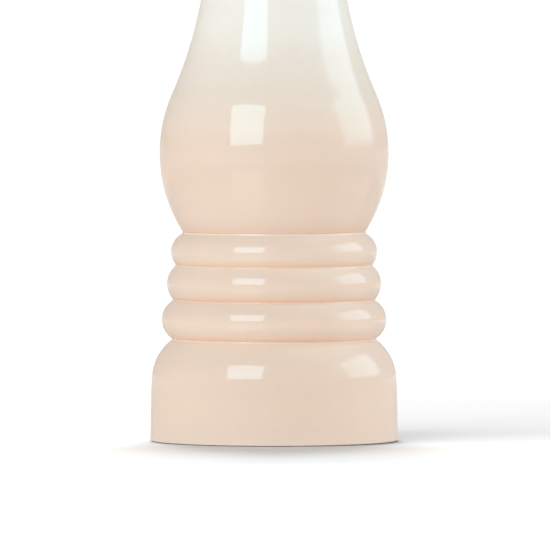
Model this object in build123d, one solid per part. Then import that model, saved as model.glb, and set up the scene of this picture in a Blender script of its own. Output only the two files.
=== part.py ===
from build123d import *
import os
from math import asin, cos, degrees, radians, sin, sqrt, tan

# A spindle pepper mill, standing on its base. Millimetres, +Z up, origin at the centre of the base.
# Sections are drawn as (radius, height) and turned about the mill's own axis.

# ---- Outer form, from the foot up -------------------------------------------------------------
FOOT_RADIUS = 32.5
FOOT_EDGE = 0.9                      # rounding of the edge that the mill stands on
SHOULDER_HEIGHT = 16.5               # where the plain base starts to curve in
SHOULDER_RADIUS = 32.2
SHOULDER_ROUND = 11.9
GROOVE_HEIGHTS = (26.6, 37.0, 46.0, 55.0)
GROOVE_RADII = (26.7, 26.45, 25.75, 24.1)
CREST_HEIGHTS = (31.7, 41.4, 50.1)
CREST_RADII = (29.55, 28.15, 27.0)
BULB_HEIGHT = 75.7                   # height of the bulb's widest point
BULB_RADIUS = 30.05
BULB_ROUND = 38.5                    # radius of the bulb's arc
BULB_TURN = 23.75                    # degrees above the widest point where bulb becomes neck
NECK_ROUND = 115.0                   # radius of the hollow neck arc
LIP_HEIGHT = 144.0                   # top of the body
LIP_RADIUS = 19.6
LIP_BEAD = 0.8                       # how far the lip's bead stands out

# ---- Head ------------------------------------------------------------------------------------
HEAD_GAP = 0.9                       # shadow gap between body and head
HEAD_GROOVE = (18.6, 150.9)
HEAD_CREST = (20.9, 147.9)
DOME_RADIUS = 24.2
DOME_HEIGHT = 163.0
DOME_TOP = (10.0, 189.0)

# ---- Walls and fits --------------------------------------------------------------------------
WALL = 2.5
HEAD_WALL = 2.4
SUNK = 0.5                           # how far a rib or boss starts inside what it stands on
LOOSE = 0.3                          # gap between pieces that pass each other
RUNNING = 0.08                       # radial clearance of a turning fit
SEATED = 0.05                        # radial clearance of a glued or pressed seat

# ---- Spindle ---------------------------------------------------------------------------------
SPINDLE_FLAT = 3.0                   # half the width across flats
SPINDLE_CHAMFER = 0.4
THREAD_RADIUS = 2.5
SPINDLE_BOTTOM = 6.2
SPINDLE_TOP = 200.0
SQUARE_BOTTOM = 12.0
SQUARE_TOP = 184.0
SPINDLE_CORNER = sqrt(SPINDLE_FLAT**2 + (SPINDLE_FLAT - SPINDLE_CHAMFER) ** 2)

# ---- Burrs -----------------------------------------------------------------------------------
STATOR_BOTTOM = 7.5
STATOR_TOP = 21.5
STATOR_RADIUS = 17.1
THROAT_HEIGHT = 14.5                 # narrowest place, between fine and coarse teeth
BURR_SLOPE = tan(radians(25))        # the fine teeth widen downwards at this slope
GRIND_GAP = 0.55                     # radial gap between the burrs at the middle setting
ROTOR_BOTTOM = 8.5
ROTOR_TOP = 21.0
ROTOR_RADIUS = 12.6
KEY_WIDTH = 3.0
KEY_FIT = 0.1                        # clearance of a key on each side of its slot

# ---- Carrier, bridge and hopper --------------------------------------------------------------
RECESS = 5.0                         # depth of the recess under the base
FLANGE_TOP = 7.5
CARRIER_TOP = 24.5
SCREW_CIRCLE = 24.5                  # radius on which the carrier's screws stand
PAD_TOP = 9.5
HUB_BOTTOM = 30.0
HUB_TOP = 36.0
HUB_RADIUS = 6.5
LINER_TOP = 130.0
LINER_RADII = (20.2, 14.3)           # outside, at its foot and at its top
LINER_WALL = 1.5

# ---- Neck, plug and knob ---------------------------------------------------------------------
SOCKET_RADIUS = 14.6
RING_THICK = 0.8
RING_BOTTOM = 132.6
PLUG_BOTTOM = 131.0
PLUG_RADIUS = 13.4
PLATE_THICK = 1.5
PLATE_RADIUS = 10.4
CAP_THICK = 1.0
WASHER_THICK = 0.8
KNOB_TOP = 210.0
KNOB_BALL = 9.2
KNOB_WAIST = 5.2


# ---- Helpers ---------------------------------------------------------------------------------
def turned(*edges):
    """Spin a closed half-section, drawn as (radius, height), about the mill's axis."""
    return revolve(Plane.XZ * make_face(edges), Axis.Z)


def ring(inner, outer, bottom, top):
    """A plain turned ring between two radii and two heights."""
    return turned(Polyline((inner, bottom), (outer, bottom), (outer, top), (inner, top), close=True))


def disc(radius, bottom, top):
    """A round bar or hole about the mill's axis."""
    return Pos(0, 0, bottom) * extrude(Circle(radius), top - bottom)


def around(shape, count, start=0.0):
    """Copies of a shape, evenly spaced about the mill's axis."""
    return [Rot(0, 0, start + 360 * step / count) * shape for step in range(count)]


def degrees_up(centre, radius, height):
    """The angle, above the radius direction, at which an arc reaches a height."""
    return degrees(asin((height - centre[1]) / radius))


def on_arc(centre, radius, turn):
    """The point of an arc at an angle."""
    return (centre[0] + radius * cos(radians(turn)), centre[1] + radius * sin(radians(turn)))


def polygon(*points):
    """A flat face with straight sides."""
    return make_face(Polyline(*points, close=True))


def upright(face, thickness):
    """A plate standing on the mill's axis plane: a face drawn as (radius, height), thickened."""
    return extrude(Plane.XZ * face, thickness / 2, both=True)


BULB_CENTRE = (BULB_RADIUS - BULB_ROUND, BULB_HEIGHT)
NECK_CENTRE = (
    BULB_CENTRE[0] + (BULB_ROUND + NECK_ROUND) * cos(radians(BULB_TURN)),
    BULB_CENTRE[1] + (BULB_ROUND + NECK_ROUND) * sin(radians(BULB_TURN)),
)
WAIST = (NECK_CENTRE[0] - NECK_ROUND, NECK_CENTRE[1])


# ---- Body shells -----------------------------------------------------------------------------
JOINT_HEIGHT = GROOVE_HEIGHTS[3]     # the two shells meet in the groove under the bulb
SPIGOT_TOP = 60.0
SPIGOT_RADIUS = 22.4
BASE_MOUTH = 29.8                    # inside radius of the base at its foot
BASE_NECK = (23.9, 25.3)             # inside, where the shoulder's hollow ends
BASE_TOP_BORE = 21.0
BOSS_RADIUS = 3.7
BOSS_TOP = 20.0
PILOT_RADIUS = 1.5
PILOT_SHARE = 0.85                   # of the boss's height that its pilot hole is deep
WEB_ENDS = (24.7, 30.1)              # radii between which a web ties a boss to the shell
RIB_BOTTOM = 26.5
RIB_INNER = 20.7
RIB_FOOT = 24.5                      # radius at which a rib's outer edge starts, in the shell's wall
RIB_TOP = (22.3, 54.0)
RIB_INNER_TOP = 50.0
RIB_THICK = 1.8
SHOULDER_TURN = 29.0                 # degrees up the shoulder's arc of its middle point
HOLLOW_ROUND = 9.5                   # radius of the hollow behind the shoulder
HOLLOW_TURN = 32.0                   # degrees up the hollow's arc of its middle point


def base_shell():
    """Base, shoulder and three rings: moulded hollow, open below, with a spigot for the bulb."""
    foot_top = FOOT_EDGE
    foot_bow = FOOT_EDGE * (1 - sqrt(0.5))
    outline = [
        Line((BASE_MOUTH, 0), (FOOT_RADIUS - FOOT_EDGE, 0)),
        ThreePointArc(
            (FOOT_RADIUS - FOOT_EDGE, 0), (FOOT_RADIUS - foot_bow, foot_bow), (FOOT_RADIUS, foot_top)
        ),
        Line((FOOT_RADIUS, foot_top), (SHOULDER_RADIUS, SHOULDER_HEIGHT)),
    ]
    shoulder_end = (GROOVE_RADII[0], GROOVE_HEIGHTS[0])
    shoulder_mid = (
        SHOULDER_RADIUS - SHOULDER_ROUND * (1 - cos(radians(SHOULDER_TURN))),
        SHOULDER_HEIGHT + SHOULDER_ROUND * sin(radians(SHOULDER_TURN)),
    )
    outline.append(ThreePointArc((SHOULDER_RADIUS, SHOULDER_HEIGHT), shoulder_mid, shoulder_end))
    grooves = list(zip(GROOVE_RADII, GROOVE_HEIGHTS))
    for lower, crest, upper in zip(grooves, zip(CREST_RADII, CREST_HEIGHTS), grooves[1:]):
        outline.append(ThreePointArc(lower, crest, upper))
    hollow_mid = (
        BASE_MOUTH - HOLLOW_ROUND * (1 - cos(radians(HOLLOW_TURN))),
        SHOULDER_HEIGHT + HOLLOW_ROUND * sin(radians(HOLLOW_TURN)),
    )
    outline += [
        Line(grooves[3], (SPIGOT_RADIUS, JOINT_HEIGHT)),
        Line((SPIGOT_RADIUS, JOINT_HEIGHT), (SPIGOT_RADIUS, SPIGOT_TOP)),
        Line((SPIGOT_RADIUS, SPIGOT_TOP), (BASE_TOP_BORE, SPIGOT_TOP)),
        Line((BASE_TOP_BORE, SPIGOT_TOP), BASE_NECK),
        ThreePointArc(BASE_NECK, hollow_mid, (BASE_MOUTH, SHOULDER_HEIGHT)),
        Line((BASE_MOUTH, SHOULDER_HEIGHT), (BASE_MOUTH, 0)),
    ]
    shell = turned(*outline)
    boss_height = BOSS_TOP - PAD_TOP
    boss = Pos(SCREW_CIRCLE, 0, PAD_TOP) * extrude(Circle(BOSS_RADIUS), boss_height)
    web = upright(
        polygon(
            (WEB_ENDS[0], PAD_TOP), (WEB_ENDS[1], PAD_TOP), (WEB_ENDS[1], BOSS_TOP), (WEB_ENDS[0], BOSS_TOP)
        ),
        RIB_THICK,
    )
    pilot = Pos(SCREW_CIRCLE, 0, PAD_TOP) * extrude(Circle(PILOT_RADIUS), PILOT_SHARE * boss_height)
    rib = upright(
        polygon((RIB_INNER, RIB_BOTTOM), (RIB_FOOT, RIB_BOTTOM), RIB_TOP, (RIB_INNER, RIB_INNER_TOP)),
        RIB_THICK,
    )
    shell += around(boss, 3) + around(web, 3) + around(rib, 6, 30)
    return shell - around(pilot, 3)


INNER_FOOT = 61.5                    # height where the bulb's hollow starts, above the spigot
LIP_TALL = 3.1                       # height of the lip's bead
COVE_START = 0.4                     # height above the waist where the cove under the lip starts
COVE_MID = (0.75, 0.85)              # of the cove: out from the waist, and down from the lip


def upper_shell():
    """Bulb, hollow neck and lip in one even wall, over the base's spigot."""
    turn = degrees_up(BULB_CENTRE, BULB_ROUND, JOINT_HEIGHT)
    neck_start = 180 + BULB_TURN
    socket = SPIGOT_RADIUS + SEATED
    socket_top = SPIGOT_TOP + LOOSE
    lip_foot = (LIP_RADIUS, LIP_HEIGHT - LIP_TALL)
    cove_start = (WAIST[0], WAIST[1] + COVE_START)
    cove_mid = (WAIST[0] + COVE_MID[0], lip_foot[1] - COVE_MID[1])
    outer_foot = on_arc(BULB_CENTRE, BULB_ROUND, turn)
    inner_round = BULB_ROUND - WALL
    inner_turn = degrees_up(BULB_CENTRE, inner_round, INNER_FOOT)
    inner_start = on_arc(BULB_CENTRE, inner_round, inner_turn)
    neck_inner = NECK_ROUND + WALL
    inner_neck_end = (NECK_CENTRE[0] - neck_inner, NECK_CENTRE[1])
    outline = [
        CenterArc(BULB_CENTRE, BULB_ROUND, turn, BULB_TURN - turn),
        CenterArc(NECK_CENTRE, NECK_ROUND, neck_start, -BULB_TURN),
        Line(WAIST, cove_start),
        ThreePointArc(cove_start, cove_mid, lip_foot),
        ThreePointArc(
            lip_foot, (LIP_RADIUS + LIP_BEAD, LIP_HEIGHT - LIP_TALL / 2), (LIP_RADIUS, LIP_HEIGHT)
        ),
        Line((LIP_RADIUS, LIP_HEIGHT), (SOCKET_RADIUS, LIP_HEIGHT)),
        Line((SOCKET_RADIUS, LIP_HEIGHT), inner_neck_end),
        CenterArc(NECK_CENTRE, neck_inner, 180, BULB_TURN),
        CenterArc(BULB_CENTRE, inner_round, inner_turn, BULB_TURN - inner_turn),
        Line(inner_start, (socket, socket_top)),
        Line((socket, socket_top), (socket, JOINT_HEIGHT)),
        Line((socket, JOINT_HEIGHT), outer_foot),
    ]
    return turned(*outline)


# ---- Hopper and carrier ----------------------------------------------------------------------
LINER_FLANGE = 22.8
CUP_BORE = STATOR_RADIUS + 0.15
CUP_RADIUS = 19.2
CUP_RIM = LINER_FLANGE - 0.4
CUP_RIM_THICK = 2.0
CUP_FLARE = 1.5                      # height of the cone under the cup's rim
CARRIER_EDGE = BASE_MOUTH - LOOSE
OUTLET_FLARE = 0.6                   # how much wider the outlet is at the fixed burr than below
KEY_INNER = 16.2                     # the keys in the cup reach in to this radius
KEY_OUTER = CUP_BORE + 0.25
OUTLET_RADIUS = 14.2
PAD_RADIUS = 4.2
SCREW_HEAD = (2.9, 1.9)              # radius and height
SCREW_CROWN = ((0.6, 0.0), (0.91, 0.5))    # of the head's arc: share of its radius, and height
SCREW_SLOT = (2.9, 0.7, 1.0)         # length, width and depth of each bar of the cross recess
SCREW_SHANK = 1.45
SCREW_CLEARANCE = 0.25
COUNTERBORE = (3.3, 2.2)             # radius and depth
SCREW_END = 18.0
GUSSET_THICK = 1.6
GUSSET_INSET = 1.5                   # how far a gusset ends inside the flange's edge
GUSSET_TOP = 17.0                    # its height at the cup, and at its outer end
GUSSET_OUTER_TOP = FLANGE_TOP + 1.0


def hopper_tube():
    """Tapered liner that holds the peppercorns, with a flange clamped in the base."""
    foot, top = LINER_RADII
    return turned(
        Polyline(
            (foot - LINER_WALL, CARRIER_TOP),
            (LINER_FLANGE, CARRIER_TOP),
            (LINER_FLANGE, RIB_BOTTOM),
            (foot, RIB_BOTTOM),
            (top, LINER_TOP),
            (top - LINER_WALL, LINER_TOP),
            close=True,
        )
    )


def key_bar(inner, outer, width):
    """A bar as tall as the fixed burr, between two radii: a key of the cup or a slot of the burr."""
    middle = Pos((inner + outer) / 2, 0, (STATOR_BOTTOM + STATOR_TOP) / 2)
    return middle * Box(outer - inner, width, STATOR_TOP - STATOR_BOTTOM)


def burr_carrier():
    """Moulded flange and cup that close the base and hold the fixed burr, with keys and ribs."""
    rim_foot = CARRIER_TOP - CUP_RIM_THICK
    cup = turned(
        Polyline(
            (OUTLET_RADIUS, RECESS),
            (CARRIER_EDGE, RECESS),
            (CARRIER_EDGE, FLANGE_TOP),
            (CUP_RADIUS, FLANGE_TOP),
            (CUP_RADIUS, rim_foot - CUP_FLARE),
            (CUP_RIM, rim_foot),
            (CUP_RIM, CARRIER_TOP),
            (CUP_BORE, CARRIER_TOP),
            (CUP_BORE, STATOR_BOTTOM),
            (OUTLET_RADIUS + OUTLET_FLARE, STATOR_BOTTOM),
            close=True,
        )
    )
    pad = Pos(SCREW_CIRCLE, 0, FLANGE_TOP) * extrude(Circle(PAD_RADIUS), PAD_TOP - FLANGE_TOP)
    gusset_inner = CUP_RADIUS - SUNK
    gusset_outer = CARRIER_EDGE - GUSSET_INSET
    gusset_foot = RECESS + SUNK
    gusset = upright(
        polygon(
            (gusset_inner, gusset_foot),
            (gusset_outer, gusset_foot),
            (gusset_outer, GUSSET_OUTER_TOP),
            (gusset_inner, GUSSET_TOP),
        ),
        GUSSET_THICK,
    )
    key = key_bar(KEY_INNER, KEY_OUTER, KEY_WIDTH - 2 * KEY_FIT)
    hole = Pos(SCREW_CIRCLE, 0, RECESS) * extrude(Circle(PILOT_RADIUS + SCREW_CLEARANCE), PAD_TOP - RECESS)
    head_seat = Pos(SCREW_CIRCLE, 0, RECESS) * extrude(Circle(COUNTERBORE[0]), COUNTERBORE[1])
    cup += around(pad, 3) + around(gusset, 6, 30) + around(key, 3, 60)
    return cup - around(hole, 3) - around(head_seat, 3)


def cross(length, width, depth):
    """Two crossed bars, as the recess in a screw's head."""
    return Box(length, width, depth) + Box(width, length, depth)


def carrier_screws():
    """Three pan-head screws, driven up through the carrier into the base."""
    radius, height = SCREW_HEAD
    top = RECESS + COUNTERBORE[1]
    bottom = top - height
    crown_start, crown_mid = [(share * radius, bottom + rise) for share, rise in SCREW_CROWN]
    head = turned(
        Line((0, bottom), crown_start),
        ThreePointArc(crown_start, crown_mid, (radius, top)),
        Line((radius, top), (0, top)),
        Line((0, top), (0, bottom)),
    )
    shank = disc(SCREW_SHANK, top, SCREW_END)
    slot = Pos(0, 0, bottom + SCREW_SLOT[2] / 2) * cross(*SCREW_SLOT)
    return around(Pos(SCREW_CIRCLE, 0, 0) * (head + shank - slot), 3)


# ---- Burrs -----------------------------------------------------------------------------------
STATOR_FINE = 28                     # teeth
ROTOR_FINE = 24
STATOR_COARSE = 14
ROTOR_COARSE = 6
FINE_DEPTH = 0.9
TOOTH_LEAN = 0.3                     # share of a tooth's width between its tip and its root
FINE_LEAN = 5.0                      # degrees that the fine teeth wind up the cone
COARSE_LEAN = 22.0
LOBE_DEPTH = 2.2
COARSE_DEPTH = 1.5
STATOR_MOUTH = 13.6                  # tip radius of the coarse teeth at the fixed burr's top
ROTOR_LOBE = 9.0                     # tip radius of the rotor's coarse lobes at the throat
LOBE_END = (7.5, 5.2)                # their tip and root radius at their top
LOBE_TOP = ROTOR_TOP - 1.0
LOBE_LEAN = 0.35                     # share of a lobe's width between its tip and its root
ROTOR_HUB = 6.4
NUT_POCKET = 5.6
POCKET_TOP = SQUARE_BOTTOM
SQUARE_FIT = 0.1                     # how much wider the rotor's square hole is than the spindle
CUT_PAST = 0.5                       # how far a cut runs past the face that it opens


def rotor_tip(height):
    """Radius of the rotor's fine teeth at a height."""
    return ROTOR_RADIUS - (height - ROTOR_BOTTOM) * BURR_SLOPE


def saw_ring(teeth, tip, root, height, turn, lean=TOOTH_LEAN):
    """The corners of a saw-toothed outline at one height: tips, with roots that lean after them."""
    corners = []
    for tooth in range(teeth):
        for radius, step in ((tip, 0.0), (root, lean)):
            angle = radians(360 * (tooth + step) / teeth + turn)
            corners.append(Vector(radius * cos(angle), radius * sin(angle), height))
    return corners


def toothed(lower, upper):
    """A solid between two rings of corners, with every flank of its teeth in two flat triangles."""
    faces = [Face(Wire.make_polygon(lower)), Face(Wire.make_polygon(upper))]
    count = len(lower)
    for near in range(count):
        far = (near + 1) % count
        for corners in ((lower[near], lower[far], upper[near]), (lower[far], upper[far], upper[near])):
            faces.append(Face(Wire.make_polygon(corners)))
    return Solid(Shell(faces))


def rotor_burr():
    """Turning ceramic cone: fine leaning teeth below, six crushing lobes above, a square hole."""
    foot = rotor_tip(ROTOR_BOTTOM)
    throat = rotor_tip(THROAT_HEIGHT)
    fine = toothed(
        saw_ring(ROTOR_FINE, foot, foot - FINE_DEPTH, ROTOR_BOTTOM, 0),
        saw_ring(ROTOR_FINE, throat, throat - FINE_DEPTH, THROAT_HEIGHT, FINE_LEAN),
    )
    lobes = toothed(
        saw_ring(ROTOR_COARSE, ROTOR_LOBE, ROTOR_LOBE - LOBE_DEPTH, THROAT_HEIGHT, 0, LOBE_LEAN),
        saw_ring(ROTOR_COARSE, *LOBE_END, LOBE_TOP, COARSE_LEAN, LOBE_LEAN),
    )
    side = 2 * SPINDLE_FLAT + SQUARE_FIT
    hole = Pos(0, 0, POCKET_TOP) * extrude(Rectangle(side, side), ROTOR_TOP - POCKET_TOP)
    hub = disc(ROTOR_HUB, ROTOR_BOTTOM, ROTOR_TOP)
    return hub + fine + lobes - disc(NUT_POCKET, ROTOR_BOTTOM, POCKET_TOP) - hole


def stator_burr():
    """Fixed ceramic ring: fine teeth below the throat, coarse teeth above it, three key slots."""
    below = STATOR_BOTTOM - CUT_PAST
    above = STATOR_TOP + CUT_PAST
    throat = rotor_tip(THROAT_HEIGHT) + GRIND_GAP
    foot = rotor_tip(below) + GRIND_GAP
    fine = toothed(
        saw_ring(STATOR_FINE, foot, foot + FINE_DEPTH, below, 0),
        saw_ring(STATOR_FINE, throat, throat + FINE_DEPTH, THROAT_HEIGHT, -FINE_LEAN),
    )
    coarse = toothed(
        saw_ring(STATOR_COARSE, throat, throat + FINE_DEPTH, THROAT_HEIGHT, 0),
        saw_ring(STATOR_COARSE, STATOR_MOUTH, STATOR_MOUTH + COARSE_DEPTH, above, COARSE_LEAN / 2),
    )
    slot = key_bar(KEY_INNER - KEY_FIT, STATOR_RADIUS + CUT_PAST, KEY_WIDTH)
    blank = disc(STATOR_RADIUS, STATOR_BOTTOM, STATOR_TOP)
    return blank - fine - coarse - around(slot, 3, 60)


# ---- Parts round the spindle -------------------------------------------------------------------
BRIDGE_ARM = 2.6                     # thickness
FUNNEL_THROAT = 14.8
FUNNEL_MOUTH = 18.1
FUNNEL_TOP = 30.0
FUNNEL_LIP = 0.7
FUNNEL_STRAIGHT = CARRIER_TOP + 0.5  # height where its outside starts to widen
ARM_FOOT = ((14.2, 22.0), (16.0, 22.0))    # of an arm's outline, on the funnel's inside
ARM_BEND = ((16.6, 27.2), (10.5, 34.8))    # and where its upper edge turns
ARM_DROP = 0.6                       # how far below the hub's top the arms end
HUB_BORE = SPINDLE_CORNER + RUNNING
HUB_WASHER_THICK = 0.8
HUB_WASHER_RADIUS = 7.2
SEAT_THICK = 1.0
SEAT_RADIUS = 7.0
SPRING_RADIUS = 5.6
SPRING_WIRE = 0.45
SPRING_TURNS = 5
WIRE_SIDES = 8
NUT_FLATS = 8.0
NUT_HEIGHT = 4.0
NUT_CONE = (0.9, 0.6)                # how far the nut's corners are turned off: out and up
ROTOR_WASHER_THICK = 1.0
ROTOR_WASHER_RADIUS = NUT_POCKET - 0.6
WASHER_FIT = 0.1                     # radial clearance of a washer on the spindle
CLIP_BOTTOM = 38.0
CLIP_THICK = 0.9
CLIP_GROOVE = 3.35
CLIP_RADIUS = 6.4
CLIP_MOUTH = (2.4, 4.2)              # radius where the clip's opening starts, and its width
THREAD_LEAD = 0.7                    # chamfer that leads the knob onto the thread


def burr_bridge():
    """Funnel ring on the fixed burr with three arms that carry the spindle's guide hub."""
    funnel = turned(
        Polyline(
            (FUNNEL_THROAT, STATOR_TOP),
            (STATOR_RADIUS, STATOR_TOP),
            (STATOR_RADIUS, FUNNEL_STRAIGHT),
            (FUNNEL_MOUTH, FUNNEL_TOP),
            (FUNNEL_MOUTH - FUNNEL_LIP, FUNNEL_TOP),
            (FUNNEL_THROAT, CARRIER_TOP),
            close=True,
        )
    )
    arm_outline = polygon(
        (HUB_RADIUS - SUNK, HUB_BOTTOM),
        *ARM_FOOT,
        *ARM_BEND,
        (HUB_RADIUS - SUNK, HUB_TOP - ARM_DROP),
    )
    hub = disc(HUB_RADIUS, HUB_BOTTOM, HUB_TOP)
    bridge = funnel + hub + around(upright(arm_outline, BRIDGE_ARM), 3, 30)
    return bridge - disc(HUB_BORE, HUB_BOTTOM, HUB_TOP)


def hub_washer():
    """Thin washer on the bridge's hub, under the retaining clip."""
    return ring(HUB_BORE + SEATED, HUB_WASHER_RADIUS, HUB_TOP, HUB_TOP + HUB_WASHER_THICK)


def spring_seat():
    """Washer between the spring and the rotor, so that the spring doesn't turn."""
    return ring(SPINDLE_CORNER + WASHER_FIT, SEAT_RADIUS, ROTOR_TOP, ROTOR_TOP + SEAT_THICK)


def grind_spring():
    """Compression spring between the bridge's hub and its seat, its wire in eight flat sides."""
    bottom = ROTOR_TOP + SEAT_THICK + SPRING_WIRE + SEATED
    rise = HUB_BOTTOM - SPRING_WIRE - SEATED - bottom
    helix = Pos(0, 0, bottom) * Helix(rise / SPRING_TURNS, rise, SPRING_RADIUS)
    wire = Plane(helix @ 0, z_dir=helix % 0) * RegularPolygon(SPRING_WIRE, WIRE_SIDES)
    return sweep(wire, helix, is_frenet=True)


def rotor_washer():
    """Washer between the rotor and its nut."""
    bottom = POCKET_TOP - ROTOR_WASHER_THICK
    return ring(THREAD_RADIUS + WASHER_FIT, ROTOR_WASHER_RADIUS, bottom, POCKET_TOP)


def rotor_nut():
    """Hexagon nut that holds the rotor on the spindle."""
    top = POCKET_TOP - ROTOR_WASHER_THICK
    bottom = top - NUT_HEIGHT
    flat = NUT_FLATS / 2
    out, up = NUT_CONE
    hexagon = RegularPolygon(flat, 6, major_radius=False)
    blank = Pos(0, 0, bottom) * extrude(hexagon, NUT_HEIGHT)
    corner_cone = turned(
        Polyline(
            (0, bottom), (flat, bottom), (flat + out, bottom + up), (flat + out, top), (0, top), close=True
        )
    )
    return (blank & corner_cone) - disc(THREAD_RADIUS + SEATED, bottom, top)


def spindle():
    """Square steel rod with chamfered corners, a clip groove and turned, threaded ends."""
    side = 2 * SPINDLE_FLAT
    square = chamfer(Rectangle(side, side).vertices(), SPINDLE_CHAMFER)
    rod = Pos(0, 0, SQUARE_BOTTOM) * extrude(square, SQUARE_TOP - SQUARE_BOTTOM)
    clip_top = CLIP_BOTTOM + CLIP_THICK
    groove = ring(CLIP_GROOVE - SEATED, CLIP_RADIUS, CLIP_BOTTOM - SEATED, clip_top + SEATED)
    lower = disc(THREAD_RADIUS, SPINDLE_BOTTOM, SQUARE_BOTTOM)
    upper = turned(
        Polyline(
            (0, SQUARE_TOP),
            (THREAD_RADIUS, SQUARE_TOP),
            (THREAD_RADIUS, SPINDLE_TOP - THREAD_LEAD),
            (THREAD_RADIUS - THREAD_LEAD, SPINDLE_TOP),
            (0, SPINDLE_TOP),
            close=True,
        )
    )
    return rod - groove + lower + upper


def retaining_clip():
    """Open spring clip in the spindle's groove, above the bridge."""
    clip = ring(CLIP_GROOVE, CLIP_RADIUS, CLIP_BOTTOM, CLIP_BOTTOM + CLIP_THICK)
    start, width = CLIP_MOUTH
    reach = 2 * CLIP_RADIUS - start
    mouth = Pos(start + reach / 2, 0, CLIP_BOTTOM + CLIP_THICK / 2) * Box(reach, width, 2 * CLIP_THICK)
    return clip - mouth


# ---- Head ------------------------------------------------------------------------------------
HEAD_BOTTOM = LIP_HEIGHT + HEAD_GAP
PLUG_SHOULDER = LIP_HEIGHT + RING_THICK
PLUG_SEAT = 148.0                    # ledge in the head shell that the plug's disc meets
PLUG_DISC = 17.6
RING_FLANGE = 18.4
RING_BORE = PLUG_RADIUS + RUNNING
RING_SLEEVE = SOCKET_RADIUS - 0.25
BEAD_RADIUS = RING_BORE + 0.5        # the bead on the plug that holds the neck ring
BEAD_TOP = (0.9, 0.2)                # how far below the ring the bead ends, outside and inside
PLUG_WALL = 1.8
PLUG_FLOOR = 3.0
RIB_ENDS = (5.8, 12.2)               # radii between which the plug's ribs stand
RIB_RISE = 8.0                       # how far they climb the column above the plug's disc
COLUMN_RADII = (4.6, 6.4)
COLUMN_TOP = 186.5
ROD_HOLE = THREAD_RADIUS + 0.6
INNER_LOW = 152.0                    # height where the head's hollow starts to curve
DRIVE_FIT = 0.15                     # how much wider the plate's square hole is than the spindle
DRIVE_SCREW_CIRCLE = 7.6
DRIVE_BOSS = (2.5, 4.5)              # radius and height
DRIVE_PILOT = (1.05, 6.5)            # radius and depth
DRIVE_HEAD = (2.0, 1.0, 1.1)         # outer radius, shank radius and height of the cone
DRIVE_SHANK = 4.5                    # length past the plate
DRIVE_SLOT = (2.4, 0.5, 0.8)         # length, width and depth of each bar of the cross recess


def neck_ring():
    """Glide ring between body and head, held on the head's plug by the bead below it."""
    return turned(
        Polyline(
            (RING_BORE, RING_BOTTOM),
            (RING_SLEEVE, RING_BOTTOM),
            (RING_SLEEVE, LIP_HEIGHT),
            (RING_FLANGE, LIP_HEIGHT),
            (RING_FLANGE, PLUG_SHOULDER),
            (RING_BORE, PLUG_SHOULDER),
            close=True,
        )
    )


def head_plug():
    """Closes the head below: a cup that turns in the neck ring, a disc, a column and ribs."""
    inside = PLUG_RADIUS - PLUG_WALL
    floor_top = PLUG_BOTTOM + PLUG_FLOOR
    sunk = floor_top - SUNK
    bore, column = COLUMN_RADII
    cup = turned(
        Polyline(
            (bore, PLUG_BOTTOM),
            (BEAD_RADIUS, PLUG_BOTTOM),
            (BEAD_RADIUS, RING_BOTTOM - BEAD_TOP[0]),
            (PLUG_RADIUS, RING_BOTTOM - BEAD_TOP[1]),
            (PLUG_RADIUS, PLUG_SHOULDER),
            (PLUG_DISC, PLUG_SHOULDER),
            (PLUG_DISC, PLUG_SEAT),
            (inside, PLUG_SEAT),
            (inside, floor_top),
            (column, floor_top),
            (column, COLUMN_TOP),
            (bore, COLUMN_TOP),
            close=True,
        )
    )
    rib = upright(
        polygon(
            (RIB_ENDS[0], sunk),
            (RIB_ENDS[1], sunk),
            (RIB_ENDS[1], PLUG_SEAT),
            (RIB_ENDS[0], PLUG_SEAT + RIB_RISE),
        ),
        RIB_THICK,
    )
    plate_seat = disc(PLATE_RADIUS + SEATED, PLUG_BOTTOM, PLUG_BOTTOM + PLATE_THICK)
    boss = Pos(DRIVE_SCREW_CIRCLE, 0, sunk) * extrude(Circle(DRIVE_BOSS[0]), DRIVE_BOSS[1])
    pilot = Pos(DRIVE_SCREW_CIRCLE, 0, PLUG_BOTTOM) * extrude(Circle(DRIVE_PILOT[0]), DRIVE_PILOT[1])
    cup += around(rib, 3, 60) + around(boss, 3)
    return cup - plate_seat - around(pilot, 3) - disc(bore, PLUG_BOTTOM, COLUMN_TOP)


def head_shell():
    """Domed head over a single ring, moulded hollow, with a flat for the cap plate."""
    low_centre, low_round = dome_arc(HEAD_GROOVE)
    top_centre, top_round = dome_arc(DOME_TOP)
    inner_foot = degrees_up(low_centre, low_round - HEAD_WALL, INNER_LOW)
    inner_top = degrees_up(top_centre, top_round - HEAD_WALL, COLUMN_TOP)
    outer_foot = degrees_up(low_centre, low_round, HEAD_GROOVE[1])
    outer_top = degrees_up(top_centre, top_round, DOME_TOP[1])
    inner_start = on_arc(low_centre, low_round - HEAD_WALL, inner_foot)
    inner_end = on_arc(top_centre, top_round - HEAD_WALL, inner_top)
    seat = PLUG_DISC + SEATED
    outline = [
        ThreePointArc((LIP_RADIUS, HEAD_BOTTOM), HEAD_CREST, HEAD_GROOVE),
        CenterArc(low_centre, low_round, outer_foot, -outer_foot),
        CenterArc(top_centre, top_round, 0, outer_top),
        Line(DOME_TOP, (ROD_HOLE, DOME_TOP[1])),
        Line((ROD_HOLE, DOME_TOP[1]), (ROD_HOLE, COLUMN_TOP)),
        Line((ROD_HOLE, COLUMN_TOP), inner_end),
        CenterArc(top_centre, top_round - HEAD_WALL, 0, inner_top),
        CenterArc(low_centre, low_round - HEAD_WALL, inner_foot, -inner_foot),
        Line(inner_start, (inner_start[0], PLUG_SEAT)),
        Line((inner_start[0], PLUG_SEAT), (seat, PLUG_SEAT)),
        Line((seat, PLUG_SEAT), (seat, HEAD_BOTTOM)),
        Line((seat, HEAD_BOTTOM), (LIP_RADIUS, HEAD_BOTTOM)),
    ]
    return turned(*outline)


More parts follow.
